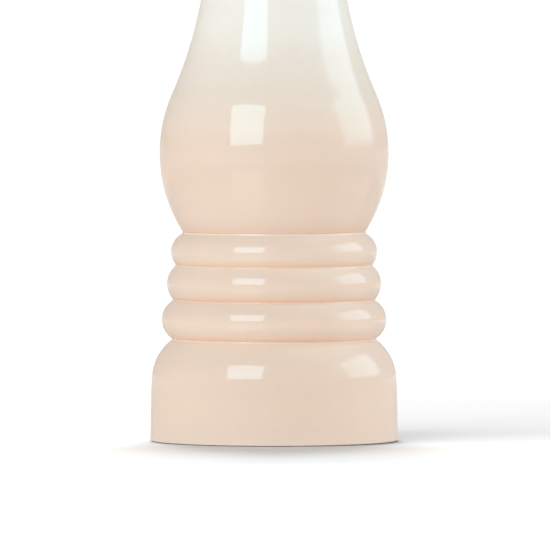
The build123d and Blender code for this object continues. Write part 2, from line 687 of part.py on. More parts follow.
def dome_arc(end):
    """Centre and radius of the dome's arc from its widest point, level there, to an end point."""
    radius, height = end
    rise = height - DOME_HEIGHT
    centre = (radius**2 + rise**2 - DOME_RADIUS**2) / (2 * (radius - DOME_RADIUS))
    return (centre, DOME_HEIGHT), DOME_RADIUS - centre


def drive_plate():
    """Steel plate with a square hole that turns the spindle with the head."""
    side = 2 * SPINDLE_FLAT + DRIVE_FIT
    blank = disc(PLATE_RADIUS, PLUG_BOTTOM, PLUG_BOTTOM + PLATE_THICK)
    square = Pos(0, 0, PLUG_BOTTOM) * extrude(Rectangle(side, side), PLATE_THICK)
    hole = Pos(DRIVE_SCREW_CIRCLE, 0, PLUG_BOTTOM) * drive_screw_cone(SEATED)
    return blank - square - around(hole, 3)


def drive_screw_cone(grown):
    """The countersunk head of a drive screw, grown by a clearance, with its shank's start."""
    head, shank, cone = DRIVE_HEAD
    return revolve(
        Plane.XZ
        * polygon(
            (0, 0), (head + grown, 0), (shank + grown, cone), (shank + grown, PLATE_THICK), (0, PLATE_THICK)
        ),
        Axis.Z,
    )


def drive_screws():
    """Three countersunk screws that hold the drive plate."""
    shank = disc(DRIVE_HEAD[1], PLATE_THICK, PLATE_THICK + DRIVE_SHANK)
    slot = Pos(0, 0, DRIVE_SLOT[2] / 4) * cross(*DRIVE_SLOT)
    screw = drive_screw_cone(0) + shank - slot
    return around(Pos(DRIVE_SCREW_CIRCLE, 0, PLUG_BOTTOM) * screw, 3)


# ---- Cap and knob ----------------------------------------------------------------------------
CAP_BOTTOM = DOME_TOP[1]
CAP_TOP = CAP_BOTTOM + CAP_THICK
CAP_RADIUS = 9.6
KNOB_BOTTOM = CAP_TOP + WASHER_THICK
CAP_EDGE = 0.8                       # radius of the plate's rolled edge
CAP_EDGE_MID = (0.15, 0.65)          # of that edge's arc: in from the outside, and up
KNOB_FOOT = 7.2
KNOB_EDGE = 0.8                      # radius of the foot's rounding
KNOB_WAIST_RISE = 3.4                # height of the waist above the foot's underside
BALL_START = -42                     # degrees above the ball's widest point where the waist meets it
INSERT_RADIUS = 3.9
INSERT_TOP = 201.0
INSERT_SET = 0.4                     # how far the insert is set into the foot
INSERT_GROOVE = (0.5, 0.4, 0.8)      # the glue groove's depth, the width of a side and of its floor
INSERT_GROOVE_BOTTOM = 195.4
BLIND_TOP = 203.0
THREAD_FIT = THREAD_RADIUS + 0.06
KNOB_WASHER = (2.9, 6.5)             # inner and outer radius


def cap_plate():
    """Steel plate on the dome, with a rolled edge, that the knob bears on."""
    return turned(
        Line((ROD_HOLE, CAP_BOTTOM), (CAP_RADIUS, CAP_BOTTOM)),
        ThreePointArc(
            (CAP_RADIUS, CAP_BOTTOM),
            (CAP_RADIUS - CAP_EDGE_MID[0], CAP_BOTTOM + CAP_EDGE_MID[1]),
            (CAP_RADIUS - CAP_EDGE, CAP_TOP),
        ),
        Line((CAP_RADIUS - CAP_EDGE, CAP_TOP), (ROD_HOLE, CAP_TOP)),
        Line((ROD_HOLE, CAP_TOP), (ROD_HOLE, CAP_BOTTOM)),
    )


def knob_washer():
    """Plain washer under the knob."""
    return ring(*KNOB_WASHER, CAP_TOP, KNOB_BOTTOM)


def adjusting_knob():
    """Turned steel knob: a rounded foot, a hollow waist and a ball, bored for its insert."""
    ball_centre = (0, KNOB_TOP - KNOB_BALL)
    foot_edge = KNOB_FOOT - KNOB_EDGE
    foot_top = KNOB_BOTTOM + 2 * KNOB_EDGE
    waist = (KNOB_WAIST, KNOB_BOTTOM + KNOB_WAIST_RISE)
    ball_start = on_arc(ball_centre, KNOB_BALL, BALL_START)
    bore = INSERT_RADIUS + SEATED
    tip_bore = THREAD_RADIUS + LOOSE
    return turned(
        Line((bore, KNOB_BOTTOM), (foot_edge, KNOB_BOTTOM)),
        ThreePointArc(
            (foot_edge, KNOB_BOTTOM), (KNOB_FOOT, KNOB_BOTTOM + KNOB_EDGE), (foot_edge, foot_top)
        ),
        ThreePointArc((foot_edge, foot_top), waist, ball_start),
        CenterArc(ball_centre, KNOB_BALL, BALL_START, 90 - BALL_START),
        Line((0, KNOB_TOP), (0, BLIND_TOP)),
        Line((0, BLIND_TOP), (tip_bore, BLIND_TOP)),
        Line((tip_bore, BLIND_TOP), (tip_bore, INSERT_TOP)),
        Line((tip_bore, INSERT_TOP), (bore, INSERT_TOP)),
        Line((bore, INSERT_TOP), (bore, KNOB_BOTTOM)),
    )


def knob_insert():
    """Brass insert in the knob, whose thread runs on the spindle."""
    bottom = KNOB_BOTTOM + INSERT_SET
    depth, side, floor = INSERT_GROOVE
    start = INSERT_GROOVE_BOTTOM
    return turned(
        Polyline(
            (THREAD_FIT, bottom),
            (INSERT_RADIUS, bottom),
            (INSERT_RADIUS, start),
            (INSERT_RADIUS - depth, start + side),
            (INSERT_RADIUS - depth, start + side + floor),
            (INSERT_RADIUS, start + side + floor + side),
            (INSERT_RADIUS, INSERT_TOP),
            (THREAD_FIT, INSERT_TOP),
            close=True,
        )
    )


PARTS = (
    base_shell,
    upper_shell,
    hopper_tube,
    burr_carrier,
    carrier_screws,
    stator_burr,
    burr_bridge,
    hub_washer,
    grind_spring,
    spring_seat,
    rotor_burr,
    rotor_washer,
    rotor_nut,
    spindle,
    retaining_clip,
    neck_ring,
    head_plug,
    head_shell,
    drive_plate,
    drive_screws,
    cap_plate,
    knob_washer,
    adjusting_knob,
    knob_insert,
)

os.makedirs("parts", exist_ok=True)
for part in PARTS:
    solid = part()
    if isinstance(solid, list):
        solid = Compound(children=solid)
    export_step(solid, f"parts/{part.__name__}.step")
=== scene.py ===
from math import atan2, cos, degrees, pi, radians, sin, tan

import bmesh
import bpy
import numpy as np
from mathutils import Euler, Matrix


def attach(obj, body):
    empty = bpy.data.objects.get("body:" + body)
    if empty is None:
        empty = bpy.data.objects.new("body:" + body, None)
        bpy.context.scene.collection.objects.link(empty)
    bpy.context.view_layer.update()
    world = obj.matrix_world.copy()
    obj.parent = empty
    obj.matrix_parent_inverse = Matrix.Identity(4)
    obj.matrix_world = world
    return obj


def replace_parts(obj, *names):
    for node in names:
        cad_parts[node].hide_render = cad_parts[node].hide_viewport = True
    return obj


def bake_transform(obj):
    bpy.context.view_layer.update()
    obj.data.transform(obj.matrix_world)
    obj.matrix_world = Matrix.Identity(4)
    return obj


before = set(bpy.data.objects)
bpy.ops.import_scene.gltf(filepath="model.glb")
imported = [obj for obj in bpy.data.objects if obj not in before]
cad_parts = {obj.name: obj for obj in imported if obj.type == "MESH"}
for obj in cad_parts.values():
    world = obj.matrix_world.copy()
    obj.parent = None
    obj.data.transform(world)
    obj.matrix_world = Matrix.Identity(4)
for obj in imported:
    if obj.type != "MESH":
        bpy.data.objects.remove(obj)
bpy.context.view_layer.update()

# The looks of a spindle pepper mill, built round its CAD frame. Sizes are in millimetres and become
# metres when a mesh is made. Sections are drawn as (radius, height) and turned about the mill's axis.
MM = 0.001

# ---- Outer form. The rings' heights and the foot's edge differ a little from the part's source ----
FOOT_RADIUS = 32.5
FOOT_EDGE = 0.6
FOOT_SHADOW_HEIGHTS = (0.20, 0.36)  # the painted shadow line at the foot fades out between these
FOOT_SHADOW_DEPTHS = (0.5, 0.3)  # and between these depths inside the outer edge
SHOULDER_HEIGHT = 16.5
SHOULDER_RADIUS = 32.2
SHOULDER_ROUND = 11.9
GROOVE_HEIGHTS = (26.85, 37.1, 46.2, 55.0)
GROOVE_RADII = (26.7, 26.45, 25.75, 24.1)
CREST_HEIGHTS = (32.25, 41.65, 50.65)
CREST_RADII = (29.55, 28.15, 27.0)
BULB_HEIGHT = 75.7
BULB_RADIUS = 30.05
BULB_ROUND = 38.5
BULB_TURN = 23.75
NECK_ROUND = 115.0
LIP_HEIGHT = 144.0
LIP_RADIUS = 19.6
LIP_BEAD = 0.8
LIP_DEPTH = 3.1
COVE = (0.75, 0.85)  # how far out and down the cove under the lip bows
HEAD_BOTTOM = 144.9
HEAD_GROOVE = (18.6, 150.9)
HEAD_CREST = (20.9, 147.9)
DOME_RADIUS = 24.2
DOME_HEIGHT = 163.0
DOME_TOP = (10.0, 189.0)
HEAD_INNER_FOOT = 152.0
WALL = 2.5

# ---- Inner pieces ----
JOINT_HEIGHT = GROOVE_HEIGHTS[3]
JOINT_STEP = (0.05, 0.5)  # how far out and down the step under the joint goes
SPIGOT_TOP = 60.0
SPIGOT_RADIUS = 22.4
SEATED = 0.05
BASE_MOUTH = 29.8
BASE_NECK = (23.9, 25.3)
BASE_TOP_BORE = 21.0
SOCKET_RADIUS = 14.6
CARRIER_TOP = 24.5
LINER_FLANGE = 22.8
LINER_FLANGE_TOP = 26.5
LINER_TOP = 130.0
LINER_RADII = (20.2, 14.3)
LINER_WALL = 1.5
PLUG_DISC = 17.6
PLUG_SEAT = 148.0
COLUMN_TOP = 186.5
RING_BORE = 13.48
RING_SLEEVE = 14.35
RING_FLANGE = 18.4
RING_BOTTOM = 132.6
RING_TOP = 144.8
ROD_HOLE = 3.1
CAP_BOTTOM = 189.0
CAP_TOP = 190.0
CAP_RADIUS = 9.6
KNOB_BOTTOM = 190.8
KNOB_TOP = 210.0
KNOB_BALL = 9.2
KNOB_FOOT = 7.2
KNOB_FOOT_ROUND = 0.8
KNOB_WAIST = 5.2
KNOB_BALL_FROM = -42  # degrees, where the ball's arc starts
INSERT_RADIUS = 3.9
INSERT_TOP = 201.0
BLIND_RADIUS = 2.8
BLIND_TOP = 203.0
PAD_TOP = 9.5
BOSS_RADIUS = 3.7
BOSS_TOP = 20.0
PILOT_RADIUS = 1.5
PILOT_SHARE = 0.85
SCREW_CIRCLE = 24.5
WEB_ENDS = (26.2, 30.1)
RIB_BOTTOM = 26.5
RIB_INNER = 20.7
RIB_FOOT = 24.5
RIB_TOP = (22.3, 54.0)
RIB_INNER_TOP = 50.0
RIB_THICK = 1.8
SPINDLE_FLAT = 3.0
SPINDLE_CHAMFER = 0.4
SQUARENESS = 50  # how sharply the spindle's flats meet its cut corners
SPINDLE_CORNER = np.hypot(SPINDLE_FLAT, SPINDLE_FLAT - SPINDLE_CHAMFER)
THREAD_RADIUS = 2.5
THREAD_PITCH = 0.8
THREAD_DEPTH = 0.42
THREAD_FLAT = 0.12  # share of a pitch that is flat at a crest and at a root
THREAD_LEAD = 0.7
THREAD_RUN = 0.5  # plain length between a thread and an end
THREAD_FIT = 2.56
SPINDLE_BOTTOM = 6.2
SPINDLE_TOP = 200.0
SQUARE_BOTTOM = 12.0
SQUARE_TOP = 184.0
STATOR_BOTTOM = 7.5
STATOR_TOP = 21.5
STATOR_RADIUS = 17.1
THROAT_HEIGHT = 14.5
BURR_SLOPE = tan(radians(25))
GRIND_GAP = 0.55
ROTOR_BOTTOM = 8.5
ROTOR_TOP = 21.0
ROTOR_RADIUS = 12.6
ROTOR_HUB = 6.4
STATOR_FINE = 28
ROTOR_FINE = 24
STATOR_COARSE = 14
ROTOR_COARSE = 6
FINE_DEPTH = 0.9
TOOTH_LEAN = 0.3
TOOTH_BEVEL = 0.15
BURR_EDGE = 0.2
BURR_WALL_EDGE = 0.25
POINTS_A_TOOTH = 12
FINE_LEAN = 5.0
COARSE_LEAN = 22.0
LOBE_DEPTH = 2.2
COARSE_DEPTH = 1.5
STATOR_MOUTH = 13.6
ROTOR_LOBE = 9.0
LOBE_END = (7.5, 5.2)
LOBE_TOP = 20.0
LOBE_LEAN = 0.35
KEY_WIDTH = 3.0
KEY_FIT = 0.1
SLOT_SLOPE = 0.6  # degrees over which a key's slot sinks to its depth
KEY_INNER = 16.2
NUT_POCKET = 5.6
POCKET_TOP = SQUARE_BOTTOM
NUT_FLATS = 8.0
NUT_HEIGHT = 4.0
NUT_CONE = (0.9, 0.6)
ROTOR_WASHER_THICK = 1.0
WASHER_FIT = 0.1
SEAT_THICK = 1.0
SEAT_RADIUS = 7.0
SPRING_RADIUS = 5.6
SPRING_WIRE = 0.45
SPRING_TURNS = 5
SPRING_END = 0.075  # how far from a cut end of the wire its round starts
SPRING_STEPS = (72, 16)  # points to a turn, and round the wire
HUB_BOTTOM = 30.0
HUB_TOP = 36.0
HUB_BORE = SPINDLE_CORNER + 0.08
HUB_WASHER_THICK = 0.8
HUB_WASHER_RADIUS = 7.2
CLIP_BOTTOM = 38.0
CLIP_THICK = 0.9
CLIP_GROOVE = 3.3
CLIP_RADIUS = 6.4
CLIP_MOUTH = 4.2
KNOB_WASHER = (2.9, 6.5)
INSERT_SET = 0.4
INSERT_GROOVE = (0.5, 0.4, 0.8)
INSERT_GROOVE_BOTTOM = 195.4
KNURL_TEETH = 36
KNURL_DEPTH = 0.14
MERGED = 1e-6  # metres within which a copied node's points are one
BEVELLED_FROM = 40  # degrees past which a copied node's edges are rounded


def rotor_tip(height):
    """Radius of the turning burr's fine teeth at a height."""
    return ROTOR_RADIUS - (height - ROTOR_BOTTOM) * BURR_SLOPE


# ---- How finely the surfaces are made ----
ROUND_THE_AXIS = 256
ROUND_A_WASHER = 128
ROUND_A_BOSS = 64
ROUND_A_NUT = 96
ROUND_THE_CLIP = 73
PROFILE_STEP = 2.0  # degrees of an outline's arc between two rows of points
SHARP_FROM = 32  # degrees past which two faces meet in a hard edge
JOINT_EDGE = 0.06
RIM_REACH = 0.45  # how far wear reaches from a corner
NOOK_REACH = 1.0  # and dust from an inner one
THREAD_ROWS = 12  # rows of points to one turn of a thread
TOOTH_ROWS = 7  # rows up a cone of teeth

# ---- How the lacquer's colour changes by height, with painted shade and light near each groove ----
GROOVE_WARM_SHADE = np.array([0.75, 1.0, 0.95, 0.55])  # how strongly painted warm shade tints the ring just above each groove
GROOVE_LINE = np.array([0.2, 0.2, 0.2, 0.0])  # where above it that painted shade is strongest
WARM_SHADE_REACH, WARM_SHADE_ONSET = 1.2, 0.12  # how far that painted shade reaches up, and down
GROOVE_SHADE = np.array([0.4, 0.5, 0.5, 0.0])  # how much greyer painted shade makes a ring's underside
SHADE_HEIGHT, SHADE_REACH = 2.3, 1.5  # where above the groove, and how far
GROOVE_PAINTED_LIGHT = (1.7, 1.6, 1.7, 2.5)  # how far painted light makes it paler below each groove
PAINTED_LIGHT_START, PAINTED_LIGHT_ONSET = 0.1, 0.25  # from what height, and how soon
SPECK_CELL = 1.1  # millimetres between specks of dust
SPECK_SIZE = 0.13  # the largest speck, as a share of that
# The lacquer's own fade from warm beige to cream, with painted shade darkening the bulb's underside between
# 56 and 78 mm.
FADE_AND_SHADE = (  # heights, and the colours that a screen shows
    (0.0, (234, 210, 190)), (5.0, (231, 205, 186)), (9.0, (229, 204, 184)), (15.0, (227, 201, 182)),
    (19.0, (231, 206, 187)), (24.4, (236, 211, 192)), (28.0, (229, 203, 184)), (50.0, (227, 201, 182)),
    (56.0, (220, 196, 178)), (71.0, (221, 196, 177)), (78.0, (227, 203, 184)), (84.0, (231, 211, 193)),
    (90.0, (233, 217, 201)), (97.0, (234, 221, 207)), (110.0, (236, 231, 221)),
)


# ---- Outlines ----
def straight(start, end):
    """A straight run: start + way * s, where way is its unit direction and s the distance along it."""
    start, end = np.array(start, float), np.array(end, float)
    length = np.hypot(*(end - start))
    way = (end - start) / length

    def at(s):
        s = np.atleast_1d(s)[:, None]
        return np.hstack([start + way * s, np.tile(way, (len(s), 1))])

    return at, length, 0.0


def arc(centre, radius, start, end):
    """Part of a circle: centre + radius * (cos t, sin t), where t runs evenly between two angles."""
    sense = np.sign(end - start)

    def at(s):
        t = radians(start) + sense * np.atleast_1d(s) / radius
        across, up = np.cos(t), np.sin(t)
        return np.stack(
            [centre[0] + radius * across, centre[1] + radius * up, -sense * up, sense * across], axis=1
        )

    return at, radius * radians(abs(end - start)), abs(end - start)


def bowed(start, middle, end):
    """The arc through three points: its centre is as far from the first as from the other two."""
    a, b, c = (np.array(p, float) for p in (start, middle, end))
    centre = np.linalg.solve([b - a, c - b], [(b @ b - a @ a) / 2, (c @ c - b @ b) / 2])
    turns = np.degrees(np.unwrap([atan2(*(p - centre)[::-1]) for p in (a, b, c)]))
    return arc(centre, np.hypot(*(a - centre)), turns[0], turns[2])


def corner(p, q, count=7):
    """A corner's round: the cubic Bezier curve between two points whose handles follow the runs'
    directions there, as long as a circle's arc of the same turn has them."""
    turn = atan2(p[2] * q[3] - p[3] * q[2], p[2] * q[2] + p[3] * q[3])
    reach = np.hypot(*(q[:2] - p[:2]))
    handle = reach * 2 / 3 * tan(abs(turn) / 4) / max(sin(abs(turn) / 2), 1e-6)
    a, d = p[:2], q[:2]
    b, c = a + handle * p[2:4], d - handle * q[2:4]
    t = np.linspace(0, 1, count + 2)[1:-1, None]
    place = (1 - t) ** 3 * a + 3 * (1 - t) ** 2 * t * b + 3 * (1 - t) * t**2 * c + t**3 * d
    way = (1 - t) ** 2 * (b - a) + 2 * (1 - t) * t * (c - b) + t**2 * (d - c)
    way /= np.hypot(*way.T)[:, None]
    sharp = np.full((count, 1), np.sign(turn) * min(1.0, abs(turn) / radians(60)))
    return np.hstack([place, way, sharp])


def outline(*parts, step=PROFILE_STEP):
    """Joins runs, each followed by how far its far corner is cut back and rounded, into one line of
    rows (radius, height, direction in radius, direction in height, sharpness). Counterclockwise, the
    faces point outwards. With a last corner given the line is closed; without it, it runs from the
    axis to the axis."""
    runs, after = parts[0::2], list(parts[1::2])
    closed = len(after) == len(runs)
    if not closed:
        after.append(0.0)
    before = [after[-1] if closed else 0.0] + after[:-1]
    rows = []
    for place, ((at, length, turn), start, end) in enumerate(zip(runs, before, after)):
        stops = np.linspace(start, length - end, 2 + int(turn / step))
        flat = np.hstack([at(stops), np.zeros((len(stops), 1))])
        last = place == len(runs) - 1
        rows.append(flat if end > 0 or (last and not closed) else flat[:-1])
        if end > 0:
            rows.append(corner(flat[-1][:4], runs[(place + 1) % len(runs)][0](end)[0]))
    return np.vstack(rows), closed


def drawn(start, *steps):
    """Runs from point to point. A step is (end, edge) for a straight one and (middle, end, edge) for
    an arc, where edge is how far the far corner is cut back and rounded."""
    parts = []
    for *middle, end, edge in steps:
        parts += [bowed(start, *middle, end) if middle else straight(start, end), edge]
        start = end
    return parts


def loop(points, edge):
    """The straight runs of a closed line through points, each corner rounded alike."""
    return drawn(points[0], *[(point, edge) for point in points[1:] + points[:1]])


# ---- Meshes ----
def stand(name, data):
    """A new object at the origin, in the scene."""
    made = bpy.data.objects.new(name, data)
    bpy.context.scene.collection.objects.link(made)
    return made


def skin(name, grids, closed, normals=None, marks=None):
    """A mesh over grids of points, (copies, rows, columns, 3): rows along an outline or a path,
    columns once round it. A closed outline's last row joins its first. An open one's end rows shrink
    to one point at each pole. marks are named values, one for each row, kept at the points for the
    finishes to read."""
    copies, rows, columns = grids.shape[:3]
    index = np.arange(rows * columns).reshape(rows, columns)
    low, high = (index, np.roll(index, -1, 0)) if closed else (index[1:-2], index[2:-1])
    faces = np.stack([low, np.roll(low, -1, 1), np.roll(high, -1, 1), high], -1).reshape(-1, 4).tolist()
    keep = np.ones(rows * columns, bool)
    if not closed:
        first, second, near, last = index[0, 0], index[1], index[-2], index[-1, 0]
        faces += np.stack([np.full(columns, first), np.roll(second, -1), second], -1).tolist()
        faces += np.stack([near, np.roll(near, -1), np.full(columns, last)], -1).tolist()
        keep[index[0, 1:]] = keep[index[-1, 1:]] = False
    shift = np.cumsum(keep) - 1
    count = int(keep.sum())
    faces = [[int(shift[v]) + copy * count for v in face] for copy in range(copies) for face in faces]
    mesh = bpy.data.meshes.new(name)
    mesh.from_pydata((grids.reshape(copies, -1, 3)[:, keep].reshape(-1, 3) * MM).tolist(), [], faces)
    for mark, values in (marks or {}).items():
        spread = np.tile(np.repeat(np.asarray(values, float), columns)[keep], copies)
        mesh.attributes.new(mark, "FLOAT", "POINT").data.foreach_set("value", spread)
    mesh.shade_smooth()
    if normals is None:
        mesh.set_sharp_from_angle(angle=radians(SHARP_FROM))
    else:
        kept = normals.reshape(copies, -1, 3)[:, keep].reshape(-1, 3)
        mesh.normals_split_custom_set_from_vertices(kept.tolist())
    return stand(name, mesh)


def around_axis(grid, count, start=0.0):
    """Copies of a grid of points or normals, evenly spaced about the mill's axis."""
    turns = radians(start) + 2 * pi * np.arange(count) / count
    c, s, none, one = np.cos(turns), np.sin(turns), np.zeros(count), np.ones(count)
    spin = np.stack([c, -s, none, s, c, none, none, none, one], -1).reshape(count, 3, 3)
    return np.einsum("kij,rcj->krci", spin, grid)


def nearness(line, wanted, width):
    """How near each row is to a sharp corner: exp(-(distance / width) squared) from the nearest."""
    along = np.concatenate([[0], np.cumsum(np.hypot(*np.diff(line[:, :2], axis=0).T))])
    here = np.exp(-(((along[:, None] - along[None, :]) / width) ** 2)) * np.clip(wanted, 0, 1)
    return here.max(axis=1)


def turned(name, line_closed, around=ROUND_THE_AXIS, out=0.0, count=1, start=0.0, **marks):
    """A turned surface: each row's (radius r, height z) becomes (r cos a, r sin a, z) for the angles
    a round the axis, and its normal is the outline's direction turned a quarter to the right. It may
    stand a distance out from the mill's axis, and be copied about it."""
    line, closed = line_closed
    a = np.linspace(0, 2 * pi, around, endpoint=False)
    r, z, along_r, along_z, sharp = (column[:, None] for column in line.T)
    spread = np.ones_like(a)
    grid = np.stack([out + r * np.cos(a), r * np.sin(a), z * spread], -1)
    normals = np.stack([along_z * np.cos(a), along_z * np.sin(a), -along_r * spread], -1)
    marks["rim"] = nearness(line, sharp[:, 0], RIM_REACH)
    marks["nook"] = nearness(line, -sharp[:, 0], NOOK_REACH)
    return skin(name, around_axis(grid, count, start), closed, around_axis(normals, count, start), marks)


def washer(name, inner, outer, bottom, top, edge=0.12):
    """A plain ring with rounded edges."""
    points = [(inner, bottom), (outer, bottom), (outer, top), (inner, top)]
    return turned(name, outline(*loop(points, edge)), around=ROUND_A_WASHER)


def plates(name, corners, thickness, count, start, edge=0.25):
    """Flat plates standing on planes through the mill's axis, copied about it. The outline's corners
    are (radius, height). Across a plate, rows run from the middle of one face to the middle of the
    other; at an edge the outline draws in by edge * (1 - sin t) as the row turns by t."""
    line, _ = outline(*loop(corners, 2 * edge))
    spot, away = line[:, :2], np.stack([line[:, 3], -line[:, 2]], -1)
    middle = spot.mean(axis=0)
    t = np.radians([0, 22.5, 45, 67.5, 90])
    inset = edge * (1 - np.sin(t))
    depth = thickness / 2 - edge + edge * np.cos(t)
    rows = [(middle + 0 * spot, thickness / 2)]
    rows += [(spot - away * i, d) for i, d in zip(inset, depth)]
    rows += [(spot - away * i, -d) for i, d in zip(inset[::-1], depth[::-1])]
    rows.append((middle + 0 * spot, -thickness / 2))
    grid = np.stack([np.stack([p[:, 0], np.full(len(p), d), p[:, 1]], -1) for p, d in rows])
    rim = [0] + [1.0] * (len(rows) - 2) + [0]
    return skin(name, around_axis(grid, count, start), False, marks={"rim": rim})


# ---- Node helpers ----
def feed(tree, node, fed):
    """Gives a node's inputs, by name or number, a value or a socket each."""
    for key, value in fed.items():
        if isinstance(value, bpy.types.NodeSocket):
            tree.links.new(value, node.inputs[key])
        else:
            node.inputs[key].default_value = value


def put(tree, kind, fed=(), **settings):
    """Adds a node with its settings and what feeds it."""
    node = tree.nodes.new(kind)
    for key, value in settings.items():
        setattr(node, key, value)
    feed(tree, node, dict(fed))
    return node


def calc(tree, operation, *values):
    """One step of arithmetic on numbers or sockets."""
    return put(tree, "ShaderNodeMath", enumerate(values), operation=operation).outputs[0]


def times(tree, first, *rest):
    """The product of numbers or sockets."""
    for value in rest:
        first = calc(tree, "MULTIPLY", first, value)
    return first


def plus(tree, first, *rest):
    """The sum of numbers or sockets."""
    for value in rest:
        first = calc(tree, "ADD", first, value)
    return first


def ranged(tree, value, low, high, to_low=0.0, to_high=1.0):
    """A smooth step of a value from one range to another."""
    fed = {"Value": value, "From Min": low, "From Max": high, "To Min": to_low, "To Max": to_high}
    return put(tree, "ShaderNodeMapRange", fed, interpolation_type="SMOOTHSTEP").outputs["Result"]


def blended(tree, share, first, second):
    """A mix of two colours."""
    return put(tree, "ShaderNodeMix", {0: share, 6: first, 7: second}, data_type="RGBA").outputs[2]


def noise(tree, where, size, detail=3.0, rough=0.5):
    """Noise whose grains are about size millimetres wide."""
    fed = {"Vector": where, "Scale": 1 / (size * MM), "Detail": detail, "Roughness": rough}
    return put(tree, "ShaderNodeTexNoise", fed).outputs["Fac"]


def patches(tree, where, size, detail, low, high, to_low=0.0, to_high=1.0, rough=0.5):
    """Noise, stepped from one range to another."""
    return ranged(tree, noise(tree, where, size, detail, rough), low, high, to_low, to_high)


def place(tree):
    """The object's own coordinates, in metres."""
    return put(tree, "ShaderNodeTexCoord").outputs["Object"]


def split(tree, vector):
    """A vector's X, Y and Z."""
    return put(tree, "ShaderNodeSeparateXYZ", {0: vector}).outputs


def from_axis(tree, axes):
    """Distance from the Z axis."""
    return calc(tree, "SQRT", plus(tree, *[calc(tree, "POWER", axes[name], 2.0) for name in "XY"]))


def mark(tree, name):
    """A value kept at a piece's points."""
    return put(tree, "ShaderNodeAttribute", attribute_name=name).outputs["Fac"]


def stretched(tree, where, scale, turn=(0, 0, 0)):
    """Coordinates turned, then scaled differently along each axis."""
    fed = {"Vector": where, "Scale": scale, "Rotation": turn}
    return put(tree, "ShaderNodeMapping", fed).outputs["Vector"]


def effect(name, given, usual, result, build):
    """A node group with one number in, by its name and usual value, and one out. build(tree, given)
    returns what goes out."""
    group = bpy.data.node_groups.new(name, "ShaderNodeTree")
    entering = group.interface.new_socket(given, in_out="INPUT", socket_type="NodeSocketFloat")
    entering.default_value = usual
    group.interface.new_socket(result, in_out="OUTPUT", socket_type="NodeSocketFloat")
    entry, ending = group.nodes.new("NodeGroupInput"), group.nodes.new("NodeGroupOutput")
    group.links.new(build(group, entry.outputs[0]), ending.inputs[0])
    return group


def use(tree, group, value):
    """Places an effect in a material with its own value, and returns what comes out."""
    return put(tree, "ShaderNodeGroup", {0: value}, node_tree=group).outputs[0]


# ---- Effects that several finishes share ----
def build_hairlines(tree, width):
    """Fine wipe marks: thin contour lines of a stretched noise, in two directions, in patches."""
    where = place(tree)
    thin = []
    for turn, scale in (((0.3, 0.2, 0.5), (60, 60, 900)), ((0.9, 1.1, 0.2), (900, 80, 70))):
        fed = {"Vector": stretched(tree, where, scale, turn), "Scale": 1.0, "Detail": 1.0}
        lines = put(tree, "ShaderNodeTexNoise", fed).outputs["Fac"]
        off = calc(tree, "ABSOLUTE", calc(tree, "SUBTRACT", lines, 0.5))
        thin.append(ranged(tree, off, 0.0, width, 1.0, 0.0))
    return times(tree, calc(tree, "MAXIMUM", *thin), patches(tree, where, 14.0, 2.0, 0.45, 0.62))


def build_specks(tree, amount):
    """Dust: small round specks, thickest where the surface looks up, and in drifts."""
    where = place(tree)
    cells = put(tree, "ShaderNodeTexVoronoi", {"Vector": where, "Scale": 1 / (SPECK_CELL * MM)}).outputs
    chance = put(tree, "ShaderNodeSeparateColor", {0: cells["Color"]}).outputs[0]
    speck = calc(tree, "LESS_THAN", cells["Distance"], times(tree, chance, SPECK_SIZE))
    up = split(tree, put(tree, "ShaderNodeNewGeometry").outputs["Normal"])["Z"]
    lying = ranged(tree, up, -0.2, 0.9, 0.12, 1.0)
    return times(tree, speck, lying, patches(tree, where, 9.0, 3.0, 0.42, 0.75), amount)


def build_lathe(tree, depth):
    """Marks of turning: noise that is nearly constant round the axis and fine along the outline,
    from four coordinates (cos a, sin a, height, radius)."""
    axes = split(tree, place(tree))
    radius = calc(tree, "MAXIMUM", from_axis(tree, axes), 1e-5)
    heights = []
    for pitch, sway, share in ((0.11, 0.9, 0.6), (0.34, 0.4, 0.4)):
        point = {2: calc(tree, "DIVIDE", axes["Z"], pitch * MM)}
        for number, axis in enumerate("XY"):
            point[number] = times(tree, calc(tree, "DIVIDE", axes[axis], radius), sway)
        point = put(tree, "ShaderNodeCombineXYZ", point).outputs[0]
        fed = {"Vector": point, "W": calc(tree, "DIVIDE", radius, pitch * MM), "Scale": 1.0, "Detail": 2.0}
        lines = put(tree, "ShaderNodeTexNoise", fed, noise_dimensions="4D").outputs["Fac"]
        heights.append(times(tree, lines, share))
    return times(tree, plus(tree, *heights), depth)


def build_drawn(tree, depth):
    """Marks of drawing through a die: lines along the axis, a little broken by length."""
    where = place(tree)
    fine = noise(tree, stretched(tree, where, (1, 1, 0.012)), 0.16, 2.0)
    broad = noise(tree, stretched(tree, where, (1, 1, 0.03)), 0.7, 2.0)
    return times(tree, plus(tree, times(tree, fine, 0.6), times(tree, broad, 0.4)), depth)


def build_mould(tree, depth):
    """The fine even grain of a sparked mould."""
    where = place(tree)
    grain, wave = noise(tree, where, 0.35, 4.0, 0.65), noise(tree, where, 6.0, 2.0)
    return times(tree, plus(tree, times(tree, grain, 0.7), times(tree, wave, 0.3)), depth)


def build_rub(tree, amount):
    """Wear on edges: the rim mark, broken up by noise."""
    worn = patches(tree, place(tree), 2.2, 4.0, 0.35, 0.7, rough=0.6)
    return times(tree, mark(tree, "rim"), worn, amount)


HAIRLINES = effect("wipe_hairlines", "Width", 0.012, "Mask", build_hairlines)
SPECKS = effect("dust_specks", "Amount", 1.0, "Mask", build_specks)
LATHE = effect("turning_marks", "Depth", 1.0, "Height", build_lathe)
DRAWN = effect("drawing_marks", "Depth", 1.0, "Height", build_drawn)
MOULD = effect("mould_grain", "Depth", 1.0, "Height", build_mould)
RUB = effect("edge_rub", "Amount", 1.0, "Mask", build_rub)


# ---- Finishes ----
def tint(red, green, blue, strength=1.0):
    """A colour given in 0 to 255 as a screen shows it, as the light that the shader wants."""
    shown = [min(1.0, c * strength / 255) for c in (red, green, blue)]
    return (*[((c + 0.055) / 1.055) ** 2.4 if c > 0.04 else c / 12.92 for c in shown], 1.0)


